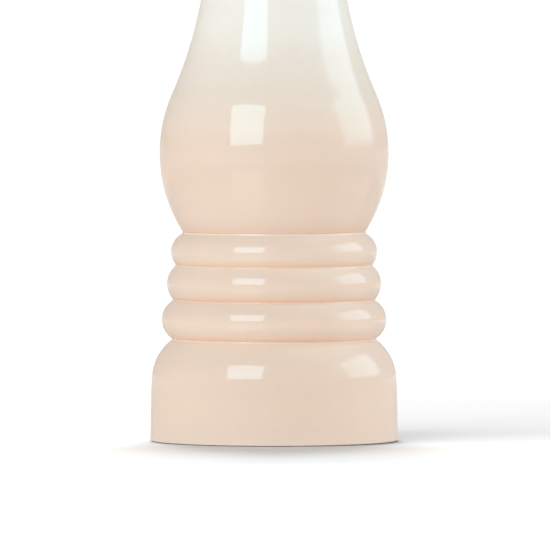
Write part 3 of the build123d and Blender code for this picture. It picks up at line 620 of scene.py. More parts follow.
def finish(name):
    """An empty material with its Principled shader."""
    made = bpy.data.materials.new(name)
    made.use_nodes = True
    return made, made.node_tree, made.node_tree.nodes["Principled BSDF"]


def raised(tree, height, distance, shader):
    """Feeds a height, in units of distance millimetres, to the shader's Normal through a bump."""
    bump = put(tree, "ShaderNodeBump", {"Height": height, "Distance": distance * MM, "Strength": 1.0})
    tree.links.new(bump.outputs["Normal"], shader.inputs["Normal"])


def shell_finish():
    """High-gloss lacquer: warm beige below, fading to cream up the bulb, with painted shade under the bulb,
    painted warm shade above each groove, painted grey shade under each ring, painted light below each
    groove, and a painted shadow line where the foot's outer edge meets the table."""
    made, tree, shader = finish("fading_gloss_lacquer")
    where = place(tree)
    axes = split(tree, where)
    height, out = axes["Z"], from_axis(tree, axes)
    low, high = FADE_AND_SHADE[0][0], FADE_AND_SHADE[-1][0]
    fed = {"Value": height, "From Min": low * MM, "From Max": high * MM}
    ramp = put(tree, "ShaderNodeValToRGB", {"Fac": put(tree, "ShaderNodeMapRange", fed).outputs["Result"]})
    ramp.color_ramp.interpolation = "EASE"
    stops = ramp.color_ramp.elements
    while len(stops) < len(FADE_AND_SHADE):
        stops.new(0.5)
    for stop, (stop_height, colour) in zip(stops, FADE_AND_SHADE):
        stop.position = (stop_height - low) / (high - low)
        stop.color = tint(*colour)
    cloud = patches(tree, where, 22.0, 2.0, 0.3, 0.7, 0.85, 1.1)
    # Painted shadow: a dark line along the foot's outer edge, where it meets the table.
    foot = ranged(tree, height, *[h * MM for h in FOOT_SHADOW_HEIGHTS], 1.0, 0.0)
    foot = times(tree, foot, ranged(tree, out, *[(FOOT_RADIUS - d) * MM for d in FOOT_SHADOW_DEPTHS]))
    specks = use(tree, SPECKS, 0.5)
    # The colour by height: the lacquer's own fade, with painted shade under the bulb.
    colour = ramp.outputs["Color"]
    # The first four blends are painted light and shade: warm shade just above each groove, grey shade on
    # each ring's underside, light just below each groove, and the shadow line at the foot's edge. The rest
    # are random tone, dust and edge wear.
    for share, over in (
        (times(tree, mark(tree, "warm_shade"), cloud), (232, 183, 150)),
        (mark(tree, "shade"), (214, 196, 178)),
        (mark(tree, "pale"), (252, 232, 214)),
        (foot, (104, 98, 92)),
        (patches(tree, where, 3.0, 4.0, 0.3, 0.7, 0.0, 0.05), (214, 190, 168)),
        (specks, (250, 247, 240)),
        (use(tree, RUB, 0.25), (245, 235, 224)),
    ):
        colour = blended(tree, share, colour, tint(*over))
    lines = times(tree, use(tree, HAIRLINES, 0.01), 0.12)
    smear = patches(tree, where, 11.0, 3.0, 0.35, 0.7, 0.0, 0.035)
    rough = plus(tree, lines, smear, times(tree, specks, 0.3), 0.055)
    feed(tree, shader, {"Base Color": colour, "Roughness": rough, "IOR": 1.58})
    peel = noise(tree, where, 2.6, 2.0)
    raised(tree, plus(tree, peel, times(tree, specks, 0.4)), 0.004, shader)
    return made


def steel_finish(name, colour, rough, marks, depth):
    """Metal with the marks of its making, faint smears and brighter rubbed edges."""
    made, tree, shader = finish(name)
    height = use(tree, marks, 1.0)
    smear = patches(tree, place(tree), 7.0, 4.0, 0.35, 0.7)
    shade = blended(tree, times(tree, smear, 0.35), tint(*colour), tint(*colour, 0.88))
    shade = blended(tree, use(tree, RUB, 0.8), shade, tint(*colour, 1.12))
    shade = blended(tree, ranged(tree, height, 0.35, 0.65, 0.0, 0.18), shade, tint(*colour, 0.8))
    spread = ranged(tree, height, 0.3, 0.7, rough - 0.06, rough + 0.08)
    spread = plus(tree, spread, times(tree, use(tree, HAIRLINES, 0.01), 0.1), times(tree, smear, 0.05))
    feed(tree, shader, {"Base Color": shade, "Roughness": spread, "Metallic": 1.0})
    raised(tree, height, depth, shader)
    return made


def plastic_finish(name, colour, rough):
    """Satin moulded plastic with mould grain, pale rubbed edges and pepper dust in its corners."""
    made, tree, shader = finish(name)
    where = place(tree)
    grain = use(tree, MOULD, 1.0)
    grime = times(tree, mark(tree, "nook"), patches(tree, where, 1.6, 4.0, 0.4, 0.7, 0.1, 0.5))
    shade = tint(*colour)
    for share, over in (
        (patches(tree, where, 12.0, 3.0, 0.3, 0.7, 0.0, 0.3), (*colour, 0.95)),
        (grime, (150, 128, 100)),
        (use(tree, RUB, 0.35), (*colour, 1.05)),
        (use(tree, SPECKS, 0.35), (120, 98, 72)),
    ):
        shade = blended(tree, share, shade, tint(*over))
    spread = ranged(tree, grain, 0.3, 0.7, rough - 0.06, rough + 0.08)
    feed(tree, shader, {"Base Color": shade, "Roughness": spread})
    raised(tree, grain, 0.02, shader)
    return made


def ceramic_finish():
    """Fired ceramic: off-white, finely granular, with pepper dust between its teeth."""
    made, tree, shader = finish("burr_ceramic")
    where = place(tree)
    grain = noise(tree, where, 0.25, 5.0, 0.7)
    stain = patches(tree, where, 1.1, 4.0, 0.45, 0.8, 0.0, 0.22, rough=0.6)
    shade = blended(tree, stain, tint(232, 229, 220), tint(176, 156, 128))
    spot = put(tree, "ShaderNodeTexVoronoi", {"Vector": where, "Scale": 1 / (0.8 * MM)}).outputs["Distance"]
    shade = blended(tree, ranged(tree, spot, 0.06, 0.12, 0.5, 0.0), shade, tint(96, 74, 52))
    spread = ranged(tree, grain, 0.3, 0.7, 0.42, 0.62)
    feed(tree, shader, {"Base Color": shade, "Roughness": spread})
    raised(tree, grain, 0.03, shader)
    return made


# Each finish with the slot that its pieces fill.
LACQUER = shell_finish(), "shell_plastic"
CERAMIC = ceramic_finish(), "burr_ceramic"
TURNED_STEEL = steel_finish("bright_turned_steel", (206, 204, 200), 0.20, LATHE, 0.004), "bright_steel"
DRAWN_STEEL = steel_finish("drawn_steel", (176, 175, 172), 0.32, DRAWN, 0.006), "plain_steel"
PLAIN_STEEL = steel_finish("plain_turned_steel", (182, 181, 178), 0.34, LATHE, 0.006), "plain_steel"
BRASS = steel_finish("turned_brass", (222, 186, 112), 0.26, LATHE, 0.005), "insert_brass"
IVORY_PLASTIC = plastic_finish("satin_ivory_plastic", (226, 220, 206), 0.42), "inner_plastic"
WHITE_PLASTIC = plastic_finish("slick_white_plastic", (236, 234, 228), 0.34), "inner_plastic"


def fit(piece, body, coat, node):
    """Gives a piece its finish, and says what it rides on and stands for."""
    material, slot = coat
    piece.data.materials.clear()
    piece.data.materials.append(material)
    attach(piece, body)
    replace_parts(piece, node)
    return piece


# ---- Body shells ----
def degrees_up(centre, radius, height):
    """The angle, above the radius direction, at which an arc reaches a height."""
    return degrees(np.arcsin((height - centre[1]) / radius))


def on_arc(centre, radius, turn):
    """The point of an arc at an angle."""
    return (centre[0] + radius * cos(radians(turn)), centre[1] + radius * sin(radians(turn)))


def swung(point, radius, turn):
    """The point that an arc reaches after a turn from its widest point."""
    return on_arc((point[0] - radius, point[1]), radius, turn)


BULB_CENTRE = (BULB_RADIUS - BULB_ROUND, BULB_HEIGHT)
NECK_CENTRE = on_arc(BULB_CENTRE, BULB_ROUND + NECK_ROUND, BULB_TURN)
WAIST = (NECK_CENTRE[0] - NECK_ROUND, NECK_CENTRE[1])


def groove_marks(line_closed, inside):
    """Painted shade and light at each row near a groove, outside a radius: painted warm shade just above
    one, fading as exp(-gap / reach), painted grey shade on the ring's underside a little further up, and
    painted light below the groove."""
    line = line_closed[0]
    gap = line[:, 1][:, None] - np.array(GROOVE_HEIGHTS)[None, :]
    outside = (line[:, 0] > inside)[:, None]
    # Painted grey shade on each ring's underside.
    shade = np.exp(-(((gap - SHADE_HEIGHT) / SHADE_REACH) ** 2)) * (gap > 0)
    # Painted warm shade just above each groove.
    over = np.maximum(gap - GROOVE_LINE, 0), np.maximum(GROOVE_LINE - gap, 0)
    warm_shade = np.exp(-over[0] / WARM_SHADE_REACH - over[1] / WARM_SHADE_ONSET)
    # Painted light below each groove.
    depth = np.maximum(PAINTED_LIGHT_START - gap, 0)
    pale = np.exp(-depth / np.array(GROOVE_PAINTED_LIGHT)) * (1 - np.exp(-depth / PAINTED_LIGHT_ONSET))
    marks = {"warm_shade": warm_shade * GROOVE_WARM_SHADE, "pale": pale, "shade": shade * GROOVE_SHADE}
    return {name: (value * outside).max(axis=1) for name, value in marks.items()}


def ringed_base():
    """Base, shoulder and three rings in one moulded shell, with a spigot for the bulb. The top ring
    ends in a small upright step at the joint."""
    shoulder, mouth = (SHOULDER_RADIUS, SHOULDER_HEIGHT), (BASE_MOUTH, SHOULDER_HEIGHT)
    grooves = list(zip(GROOVE_RADII, GROOVE_HEIGHTS))
    step = (GROOVE_RADII[3] + JOINT_STEP[0], JOINT_HEIGHT - JOINT_STEP[1])
    rings = zip(zip(CREST_RADII, CREST_HEIGHTS), (*grooves[1:3], step), (0.5, 0.5, 0.2))
    line = outline(
        *drawn((BASE_MOUTH, 0), ((FOOT_RADIUS - FOOT_EDGE, 0), 0)),
        arc((FOOT_RADIUS - FOOT_EDGE, FOOT_EDGE), FOOT_EDGE, -90, 0), 0,
        *drawn(
            (FOOT_RADIUS, FOOT_EDGE),
            (shoulder, 0.8),
            (swung(shoulder, SHOULDER_ROUND, 29), grooves[0], 0.5),
            *rings,
            (grooves[3], JOINT_EDGE),
            ((SPIGOT_RADIUS, JOINT_HEIGHT), 0.2),
            ((SPIGOT_RADIUS, SPIGOT_TOP), 0.3),
            ((BASE_TOP_BORE, SPIGOT_TOP), 0.3),
            (BASE_NECK, 0.5),
            (swung(mouth, SHOULDER_ROUND - WALL + 0.1, 32), mouth, 0.6),
            ((BASE_MOUTH, 0), 0.5),
        ),
    )
    marks = groove_marks(line, inside=24.0)
    return fit(turned("ringed_base", line, **marks), "body", LACQUER, "base_shell")


def bulb_and_neck():
    """Bulb, hollow neck and lip in one even wall, over the base's spigot."""
    turn = degrees_up(BULB_CENTRE, BULB_ROUND, JOINT_HEIGHT)
    socket, socket_top = SPIGOT_RADIUS + SEATED, SPIGOT_TOP + 0.3
    lip_foot = (LIP_RADIUS, LIP_HEIGHT - LIP_DEPTH)
    inner_round, neck_inner = BULB_ROUND - WALL, NECK_ROUND + WALL
    inner_turn = degrees_up(BULB_CENTRE, inner_round, SPIGOT_TOP + 1.5)
    line = outline(
        arc(BULB_CENTRE, BULB_ROUND, turn, BULB_TURN), 0,
        arc(NECK_CENTRE, NECK_ROUND, 180 + BULB_TURN, 180), 0,
        *drawn(
            WAIST,
            ((WAIST[0], WAIST[1] + 0.4), 0),
            ((WAIST[0] + COVE[0], lip_foot[1] - COVE[1]), lip_foot, 0.25),
            ((LIP_RADIUS + LIP_BEAD, LIP_HEIGHT - LIP_DEPTH / 2), (LIP_RADIUS, LIP_HEIGHT), 0.3),
            ((SOCKET_RADIUS, LIP_HEIGHT), 0.4),
            ((NECK_CENTRE[0] - neck_inner, NECK_CENTRE[1]), 0),
        ),
        arc(NECK_CENTRE, neck_inner, 180, 180 + BULB_TURN), 0,
        arc(BULB_CENTRE, inner_round, BULB_TURN, inner_turn), 0.4,
        *drawn(
            on_arc(BULB_CENTRE, inner_round, inner_turn),
            ((socket, socket_top), 0.3),
            ((socket, JOINT_HEIGHT), 0.2),
            (on_arc(BULB_CENTRE, BULB_ROUND, turn), JOINT_EDGE),
        ),
        step=1.3,
    )
    marks = groove_marks(line, inside=23.5)
    return fit(turned("bulb_and_neck", line, **marks), "body", LACQUER, "upper_shell")


def dome_arc(end):
    """Centre and radius of the dome's arc from its widest point, level there, to an end point."""
    radius, height = end
    rise = height - DOME_HEIGHT
    centre = (radius**2 + rise**2 - DOME_RADIUS**2) / (2 * (radius - DOME_RADIUS))
    return (centre, DOME_HEIGHT), DOME_RADIUS - centre


def domed_head():
    """Domed head over a single ring, moulded hollow, with a flat for the cap plate."""
    low_centre, low_round = dome_arc(HEAD_GROOVE)
    top_centre, top_round = dome_arc(DOME_TOP)
    low_inner, top_inner = low_round - WALL + 0.1, top_round - WALL + 0.1
    inner_foot = degrees_up(low_centre, low_inner, HEAD_INNER_FOOT)
    inner_top = degrees_up(top_centre, top_inner, COLUMN_TOP)
    inner_start = on_arc(low_centre, low_inner, inner_foot)
    seat = PLUG_DISC + SEATED
    line = outline(
        *drawn((LIP_RADIUS, HEAD_BOTTOM), (HEAD_CREST, HEAD_GROOVE, 0.4)),
        arc(low_centre, low_round, degrees_up(low_centre, low_round, HEAD_GROOVE[1]), 0), 0,
        arc(top_centre, top_round, 0, degrees_up(top_centre, top_round, DOME_TOP[1])), 0.5,
        *drawn(
            DOME_TOP,
            ((ROD_HOLE, DOME_TOP[1]), 0.25),
            ((ROD_HOLE, COLUMN_TOP), 0.2),
            (on_arc(top_centre, top_inner, inner_top), 0.4),
        ),
        arc(top_centre, top_inner, inner_top, 0), 0,
        arc(low_centre, low_inner, 0, inner_foot), 0.3,
        *drawn(
            inner_start,
            ((inner_start[0], PLUG_SEAT), 0.2),
            ((seat, PLUG_SEAT), 0.2),
            ((seat, HEAD_BOTTOM), 0.25),
            ((LIP_RADIUS, HEAD_BOTTOM), 0.35),
        ),
    )
    return fit(turned("domed_head", line), "head", LACQUER, "head_shell")


def glide_ring():
    """Slick ring in the neck's mouth, on which the head turns."""
    points = [
        (RING_BORE, RING_BOTTOM), (RING_SLEEVE, RING_BOTTOM), (RING_SLEEVE, LIP_HEIGHT),
        (RING_FLANGE, LIP_HEIGHT), (RING_FLANGE, RING_TOP), (RING_BORE, RING_TOP),
    ]
    return fit(turned("glide_ring", outline(*loop(points, 0.25))), "glide", WHITE_PLASTIC, "neck_ring")


def steel_cap():
    """Steel plate on the dome, its edge rolled over, that the knob bears on."""
    line = outline(*drawn(
        (ROD_HOLE, CAP_BOTTOM),
        ((CAP_RADIUS, CAP_BOTTOM), 0.12),
        ((CAP_RADIUS - 0.15, CAP_BOTTOM + 0.65), (CAP_RADIUS - 0.8, CAP_TOP), 0.1),
        ((ROD_HOLE, CAP_TOP), 0.2),
        ((ROD_HOLE, CAP_BOTTOM), 0.2),
    ))
    return fit(turned("steel_cap", line), "head", TURNED_STEEL, "cap_plate")


def ball_knob():
    """Turned knob: a rounded foot, a hollow waist and a ball, bored for its insert."""
    centre = (0, KNOB_TOP - KNOB_BALL)
    foot, foot_top = KNOB_FOOT - KNOB_FOOT_ROUND, KNOB_BOTTOM + 2 * KNOB_FOOT_ROUND
    bore = INSERT_RADIUS + SEATED
    line = outline(
        *drawn(
            (0, BLIND_TOP),
            ((BLIND_RADIUS, BLIND_TOP), 0.3),
            ((BLIND_RADIUS, INSERT_TOP), 0.15),
            ((bore, INSERT_TOP), 0.15),
            ((bore, KNOB_BOTTOM), 0.3),
            ((foot, KNOB_BOTTOM), 0.15),
            ((KNOB_FOOT, KNOB_BOTTOM + KNOB_FOOT_ROUND), (foot, foot_top), 0.3),
            ((KNOB_WAIST, KNOB_BOTTOM + 3.4), on_arc(centre, KNOB_BALL, KNOB_BALL_FROM), 0.3),
        ),
        arc(centre, KNOB_BALL, KNOB_BALL_FROM, 90),
    )
    return fit(turned("ball_knob", line), "knob", TURNED_STEEL, "adjusting_knob")


def base_bosses():
    """Three bosses inside the base, with blind holes for the carrier's screws, and their webs."""
    floor = BOSS_TOP - (BOSS_TOP - PAD_TOP) * (1 - PILOT_SHARE)
    line = outline(*drawn(
        (0, floor),
        ((PILOT_RADIUS, floor), 0.2),
        ((PILOT_RADIUS, PAD_TOP), 0.2),
        ((BOSS_RADIUS, PAD_TOP), 0.3),
        ((BOSS_RADIUS, BOSS_TOP), 0.5),
        ((0, BOSS_TOP), 0),
    )[:-1])
    bosses = turned("base_bosses", line, around=ROUND_A_BOSS, out=SCREW_CIRCLE, count=3)
    fit(bosses, "body", LACQUER, "base_shell")
    inner, outer = WEB_ENDS
    corners = [(inner, PAD_TOP), (outer, PAD_TOP), (outer, BOSS_TOP), (inner, BOSS_TOP)]
    return fit(plates("boss_webs", corners, RIB_THICK, 3, 0.0), "body", LACQUER, "base_shell")


def base_ribs():
    """Six upright ribs inside the rings, which press on the hopper's flange."""
    corners = [(RIB_INNER, RIB_BOTTOM), (RIB_FOOT, RIB_BOTTOM), RIB_TOP, (RIB_INNER, RIB_INNER_TOP)]
    return fit(plates("base_ribs", corners, RIB_THICK, 6, 30.0), "body", LACQUER, "base_shell")


def hopper_liner():
    """Tapered liner for the peppercorns, with a flange that the base and its carrier clamp."""
    foot, top = LINER_RADII
    points = [
        (foot - LINER_WALL, CARRIER_TOP),
        (LINER_FLANGE, CARRIER_TOP),
        (LINER_FLANGE, LINER_FLANGE_TOP),
        (foot, LINER_FLANGE_TOP),
        (top, LINER_TOP),
        (top - LINER_WALL, LINER_TOP),
    ]
    line = outline(*loop(points, 0.35))
    return fit(turned("hopper_liner", line), "body", IVORY_PLASTIC, "hopper_tube")


def thread_wave(z, a):
    """Depth of a thread, 0 at its crest and 1 at its root: a flattened triangle wave whose phase is
    height / pitch - turn, so that it rises one pitch in a turn."""
    phase = z / THREAD_PITCH - a / (2 * pi)
    return np.clip((np.abs(2 * (phase % 1) - 1) - THREAD_FLAT) / (1 - 2 * THREAD_FLAT), 0, 1)


def thread_heights(bottom, top):
    """Evenly spaced rows along a thread."""
    return np.linspace(bottom, top, int((top - bottom) / THREAD_PITCH * THREAD_ROWS) + 1)


def square_rod():
    """Square spindle with cut corners, a groove for its clip and a thread at each end. A row's radius
    at the angle a is the least of the square's flats, half / |cos a|, of its cut corners, and of a
    circle that makes the groove and the round ends; the thread is cut into that circle."""
    cut = (2 * SPINDLE_FLAT - SPINDLE_CHAMFER) / 2**0.5
    corner_turn = np.degrees(np.arctan2(SPINDLE_FLAT - SPINDLE_CHAMFER, SPINDLE_FLAT))
    corners = (np.array([-corner_turn, corner_turn])[:, None] + 90 * np.arange(4)).ravel()
    near = (corners[:, None] + np.array([-1.6, -0.6, 0.6, 1.6])).ravel()
    a = np.radians(np.unique(np.round(np.concatenate([np.arange(0, 360, 5), near]) % 360, 4)))
    flats = np.stack([np.abs(np.cos(a)), np.abs(np.sin(a))]) / SPINDLE_FLAT
    cuts = np.stack([np.abs(np.cos(a - pi / 4)), np.abs(np.sin(a - pi / 4))]) / cut
    square = 1 / (np.concatenate([flats, cuts]) ** SQUARENESS).sum(axis=0) ** (1 / SQUARENESS)
    wide = 2 * SPINDLE_FLAT
    groove = (CLIP_BOTTOM - SEATED, CLIP_BOTTOM + CLIP_THICK + SEATED)
    low_thread = thread_heights(SPINDLE_BOTTOM + THREAD_RUN, SQUARE_BOTTOM - THREAD_PITCH)
    high_thread = thread_heights(SQUARE_TOP + THREAD_PITCH, SPINDLE_TOP - THREAD_LEAD)
    # heights, the circle's radius, the share of the thread's depth, and the square's scale
    spans = (
        ([SPINDLE_BOTTOM], 0, 0, 1),
        ([SPINDLE_BOTTOM], THREAD_RADIUS - THREAD_RUN, 0, 1),
        (low_thread, THREAD_RADIUS, 1, 1),
        ([SQUARE_BOTTOM - THREAD_RUN, SQUARE_BOTTOM], THREAD_RADIUS, 0, 1),
        ([SQUARE_BOTTOM], wide, 0, 0.95),
        ([SQUARE_BOTTOM + 0.05], wide, 0, 0.98),
        ([SQUARE_BOTTOM + 0.2, 25.0, groove[0]], wide, 0, 1),
        (groove, CLIP_GROOVE, 0, 1),
        (np.linspace(groove[1], SQUARE_TOP - 0.2, 9), wide, 0, 1),
        ([SQUARE_TOP - 0.05], wide, 0, 0.98),
        ([SQUARE_TOP], wide, 0, 0.95),
        ([SQUARE_TOP, SQUARE_TOP + THREAD_RUN], THREAD_RADIUS, 0, 1),
        (high_thread, THREAD_RADIUS, 1, 1),
        ([SPINDLE_TOP], THREAD_RADIUS - THREAD_LEAD, 0, 1),
        ([SPINDLE_TOP], 0, 0, 1),
    )
    rows = [(z, *span) for heights, *span in spans for z in heights]
    z, limit, cut_in, scale = (column[:, None] for column in np.array(rows, float).T)
    r = np.minimum(square * scale, limit) - THREAD_DEPTH * cut_in * thread_wave(z, a)
    r[[0, -1]] = 0
    grid = np.stack([r * np.cos(a), r * np.sin(a), z + 0 * a], -1)
    worn = np.where(limit[:, 0] == CLIP_GROOVE, 1.0, 0.15 + 0.6 * cut_in[:, 0])
    piece = skin("square_rod", grid[None], False, marks={"rim": worn})
    return fit(piece, "grinder", DRAWN_STEEL, "spindle")


def burr_spring():
    """Compression spring of round wire: rings of points round a helix, in the plane across it."""
    bottom = ROTOR_TOP + SEAT_THICK + SPRING_WIRE + SEATED
    rise = HUB_BOTTOM - SPRING_WIRE - SEATED - bottom
    turns = np.linspace(0, 2 * pi * SPRING_TURNS, SPRING_STEPS[0] * SPRING_TURNS)
    end = SPRING_END / SPRING_RADIUS
    turns = np.concatenate([[0, 0, end], turns[1:-1], turns[-1] - np.array([end, 0, 0])])
    wire = np.full(len(turns), SPRING_WIRE)
    wire[[0, -1]] = 0
    wire[[1, -2]] = SPRING_WIRE * 0.75
    slope = rise / turns[-1]
    c, s = np.cos(turns), np.sin(turns)
    centre = np.stack([SPRING_RADIUS * c, SPRING_RADIUS * s, bottom + slope * turns], -1)
    outward = np.stack([c, s, 0 * c], -1)
    upward = np.stack([slope * s, -slope * c, SPRING_RADIUS + 0 * c], -1) / np.hypot(slope, SPRING_RADIUS)
    a = np.linspace(0, 2 * pi, SPRING_STEPS[1], endpoint=False)[:, None]
    ring = np.cos(a) * outward[:, None] - np.sin(a) * upward[:, None]
    grid = centre[:, None] + wire[:, None, None] * ring
    piece = skin("burr_spring", grid[None], False, marks={"rim": 0.1 + 0 * wire})
    material, slot = PLAIN_STEEL
    piece.data.materials.append(material)
    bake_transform(piece)
    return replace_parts(piece, "grind_spring")


def tooth_rows(teeth, low, high, heights, leans, lean, each):
    """Rows of a saw-toothed cone between two heights. low and high are its (tip, root) radii there,
    and its teeth wind between two leans, in degrees. Round each row, points run along the straight
    flanks tip + (root - tip) * f and root + (tip - root) * f, stopping short of each corner, so that
    it is bevelled; a fall takes the share lean of a tooth."""
    short = 0.3 / each
    fall = np.linspace(3 * short, 1 - 3 * short, each // 3)
    climb = np.linspace(short, 1 - short, each - each // 3)
    rows = []
    for share in np.linspace(0, 1, TOOTH_ROWS):
        tip, root = np.array(low) * (1 - share) + np.array(high) * share
        turn = radians(leans[0] * (1 - share) + leans[1] * share)
        tips = np.exp(1j * (2 * pi * np.arange(teeth) / teeth + turn))[:, None]
        roots = tips * np.exp(2j * pi * lean / teeth)
        flank = tip * tips * (1 - fall) + root * roots * fall
        back = root * roots * (1 - climb) + tip * np.roll(tips, -1, 0) * climb
        points = np.hstack([flank, back]).ravel()
        rows.append((np.abs(points), np.angle(points), heights[0] * (1 - share) + heights[1] * share))
    return rows


def through(name, rows, closed, rim):
    """A mesh through rows of (radii, angles, heights), with each row's rim mark."""
    grid = [np.stack([r * np.cos(a), r * np.sin(a), z + 0 * r * a], -1) for r, a, z in rows]
    return skin(name, np.stack(grid)[None], closed, marks={"rim": rim})


def bore_rows(radius, a, bottom, top):
    """Rows down a threaded bore."""
    return [
        (radius + THREAD_DEPTH * (1 - thread_wave(z, a)), a, z) for z in thread_heights(bottom, top)[::-1]
    ]


def grinding_cone():
    """Turning burr: fine leaning teeth below, six crushing lobes above, a pocket for the nut and a
    square hole. Each row has radii over angles; the hole's radius is its half-width / cos a, folded
    into an eighth of a turn."""
    foot, throat = rotor_tip(ROTOR_BOTTOM), rotor_tip(THROAT_HEIGHT)
    columns = POINTS_A_TOOTH * ROTOR_FINE
    even = np.linspace(0, 2 * pi, columns, endpoint=False)
    half = SPINDLE_FLAT + 0.05
    hole = half / np.cos((even + pi / 4) % (pi / 2) - pi / 4)
    low = tooth_rows(
        ROTOR_FINE, (foot, foot - FINE_DEPTH), (throat, throat - FINE_DEPTH),
        (ROTOR_BOTTOM + TOOTH_BEVEL, THROAT_HEIGHT), (0, FINE_LEAN), TOOTH_LEAN, POINTS_A_TOOTH,
    )
    lobes = tooth_rows(
        ROTOR_COARSE, (ROTOR_LOBE, ROTOR_LOBE - LOBE_DEPTH), LOBE_END,
        (THROAT_HEIGHT, LOBE_TOP), (0, COARSE_LEAN), LOBE_LEAN, columns // ROTOR_COARSE,
    )
    first, last = low[0], lobes[-1]
    lobe_edge = LOBE_TOP + 0.1
    rows = [
        (NUT_POCKET, even, POCKET_TOP), (NUT_POCKET, even, ROTOR_BOTTOM + 0.3),
        (NUT_POCKET + 0.3, even, ROTOR_BOTTOM),
        (first[0] - BURR_EDGE, first[1], ROTOR_BOTTOM), *low, *lobes,
        (np.minimum(last[0] - TOOTH_BEVEL, ROTOR_HUB), last[1], lobe_edge),
        (ROTOR_HUB - 0.05, even, lobe_edge),
        (ROTOR_HUB, even, ROTOR_TOP - BURR_EDGE), (ROTOR_HUB - BURR_EDGE, even, ROTOR_TOP),
        (hole + BURR_EDGE, even, ROTOR_TOP), (hole, even, ROTOR_TOP - BURR_EDGE), (hole, even, POCKET_TOP),
    ]
    worn = [0.0] * 4 + [0.5] * len(low) + [0.3] * (len(rows) - 4 - len(low))
    return fit(through("grinding_cone", rows, True, worn), "grinder", CERAMIC, "rotor_burr")


def grinding_ring():
    """Fixed burr: fine teeth below the throat, coarse teeth above it, and three slots for the
    carrier's keys, sunk into its outside as the angle nears them."""
    throat, foot = rotor_tip(THROAT_HEIGHT) + GRIND_GAP, rotor_tip(STATOR_BOTTOM) + GRIND_GAP
    columns = POINTS_A_TOOTH * STATOR_FINE
    even = np.linspace(0, 2 * pi, columns, endpoint=False)
    low = tooth_rows(
        STATOR_FINE, (foot, foot + FINE_DEPTH), (throat, throat + FINE_DEPTH),
        (STATOR_BOTTOM + TOOTH_BEVEL, THROAT_HEIGHT), (0, -FINE_LEAN), TOOTH_LEAN, POINTS_A_TOOTH,
    )
    high = tooth_rows(
        STATOR_COARSE, (throat, throat + FINE_DEPTH), (STATOR_MOUTH, STATOR_MOUTH + COARSE_DEPTH),
        (THROAT_HEIGHT, STATOR_TOP - TOOTH_BEVEL), (0, COARSE_LEAN / 2), TOOTH_LEAN,
        columns // STATOR_COARSE,
    )
    near_key = np.abs(np.degrees(even) % 120 - 60)
    half_slot = np.degrees(KEY_WIDTH / 2 / STATOR_RADIUS)
    slot = np.clip((half_slot + SLOT_SLOPE - near_key) / SLOT_SLOPE, 0, 1)
    wall = STATOR_RADIUS - slot * (STATOR_RADIUS - KEY_INNER + KEY_FIT)
    last, first = high[-1], low[0]
    rows = [
        (last[0] + BURR_EDGE, last[1], STATOR_TOP), *high[::-1], *low[::-1],
        (first[0] + BURR_EDGE, first[1], STATOR_BOTTOM),
        (wall - BURR_WALL_EDGE, even, STATOR_BOTTOM), (wall, even, STATOR_BOTTOM + BURR_WALL_EDGE),
        (wall, even, STATOR_TOP - BURR_WALL_EDGE), (wall - BURR_WALL_EDGE, even, STATOR_TOP),
    ]
    worn = [0.4] * (len(rows) - 4) + [0.0] * 4
    return fit(through("grinding_ring", rows, True, worn), "body", CERAMIC, "stator_burr")


def hexagon(a, flat):
    """Radius of a hexagon at the angles a: half its width across flats / cos a, folded into a
    twelfth of a turn."""
    return flat / np.cos(a % (pi / 3) - pi / 6)


def burr_nut():
    """Hexagon nut with turned-off corners and a threaded bore. The turned cone meets each flat where
    its radius is the flat's, so the rows there follow that curve."""
    top = POCKET_TOP - ROTOR_WASHER_THICK
    bottom = top - NUT_HEIGHT
    flat = NUT_FLATS / 2
    out, up = NUT_CONE
    a = np.linspace(0, 2 * pi, ROUND_A_NUT, endpoint=False)
    side = hexagon(a, flat)
    meets = bottom + up * (side - flat) / out
    bore = THREAD_RADIUS + SEATED
    mouth = bore + THREAD_DEPTH
    rows = [
        (mouth, a, bottom), (flat - 0.15, a, bottom),
        (side - 0.05, a, meets - 0.02), (side, a, meets + 0.06),
        (side, a, top - 0.2), (side - 0.2, a, top), (mouth, a, top), *bore_rows(bore, a, bottom, top),
    ]
    worn = [0.0, 0.2, 1, 1, 1, 0.6] + [0.1] * (len(rows) - 6)
    return fit(through("burr_nut", rows, True, worn), "grinder", PLAIN_STEEL, "rotor_nut")


def brass_insert():
    """Threaded insert with a straight-knurled outside and a groove for the glue."""
    bottom = KNOB_BOTTOM + INSERT_SET
    depth, side, floor = INSERT_GROOVE
    a = np.linspace(0, 2 * pi, 4 * KNURL_TEETH, endpoint=False)
    knurl = KNURL_DEPTH * np.abs(((a / (2 * pi) * KNURL_TEETH) % 1) * 2 - 1)
    outside = INSERT_RADIUS - knurl
    groove = np.minimum(outside, INSERT_RADIUS - depth)
    start, end = INSERT_GROOVE_BOTTOM, INSERT_GROOVE_BOTTOM + 2 * side + floor
    mouth = THREAD_FIT + THREAD_DEPTH
    rows = [
        (mouth, a, bottom), (outside - 0.3, a, bottom), (outside, a, bottom + 0.3), (outside, a, start),
        (groove, a, start + side), (groove, a, end - side), (outside, a, end),
        (outside, a, INSERT_TOP - 0.3),
        (outside - 0.3, a, INSERT_TOP), (mouth, a, INSERT_TOP),
        *bore_rows(THREAD_FIT, a, bottom, INSERT_TOP),
    ]
    worn = [0.5] * 10 + [0.1] * (len(rows) - 10)
    return fit(through("brass_insert", rows, True, worn), "knob", BRASS, "knob_insert")


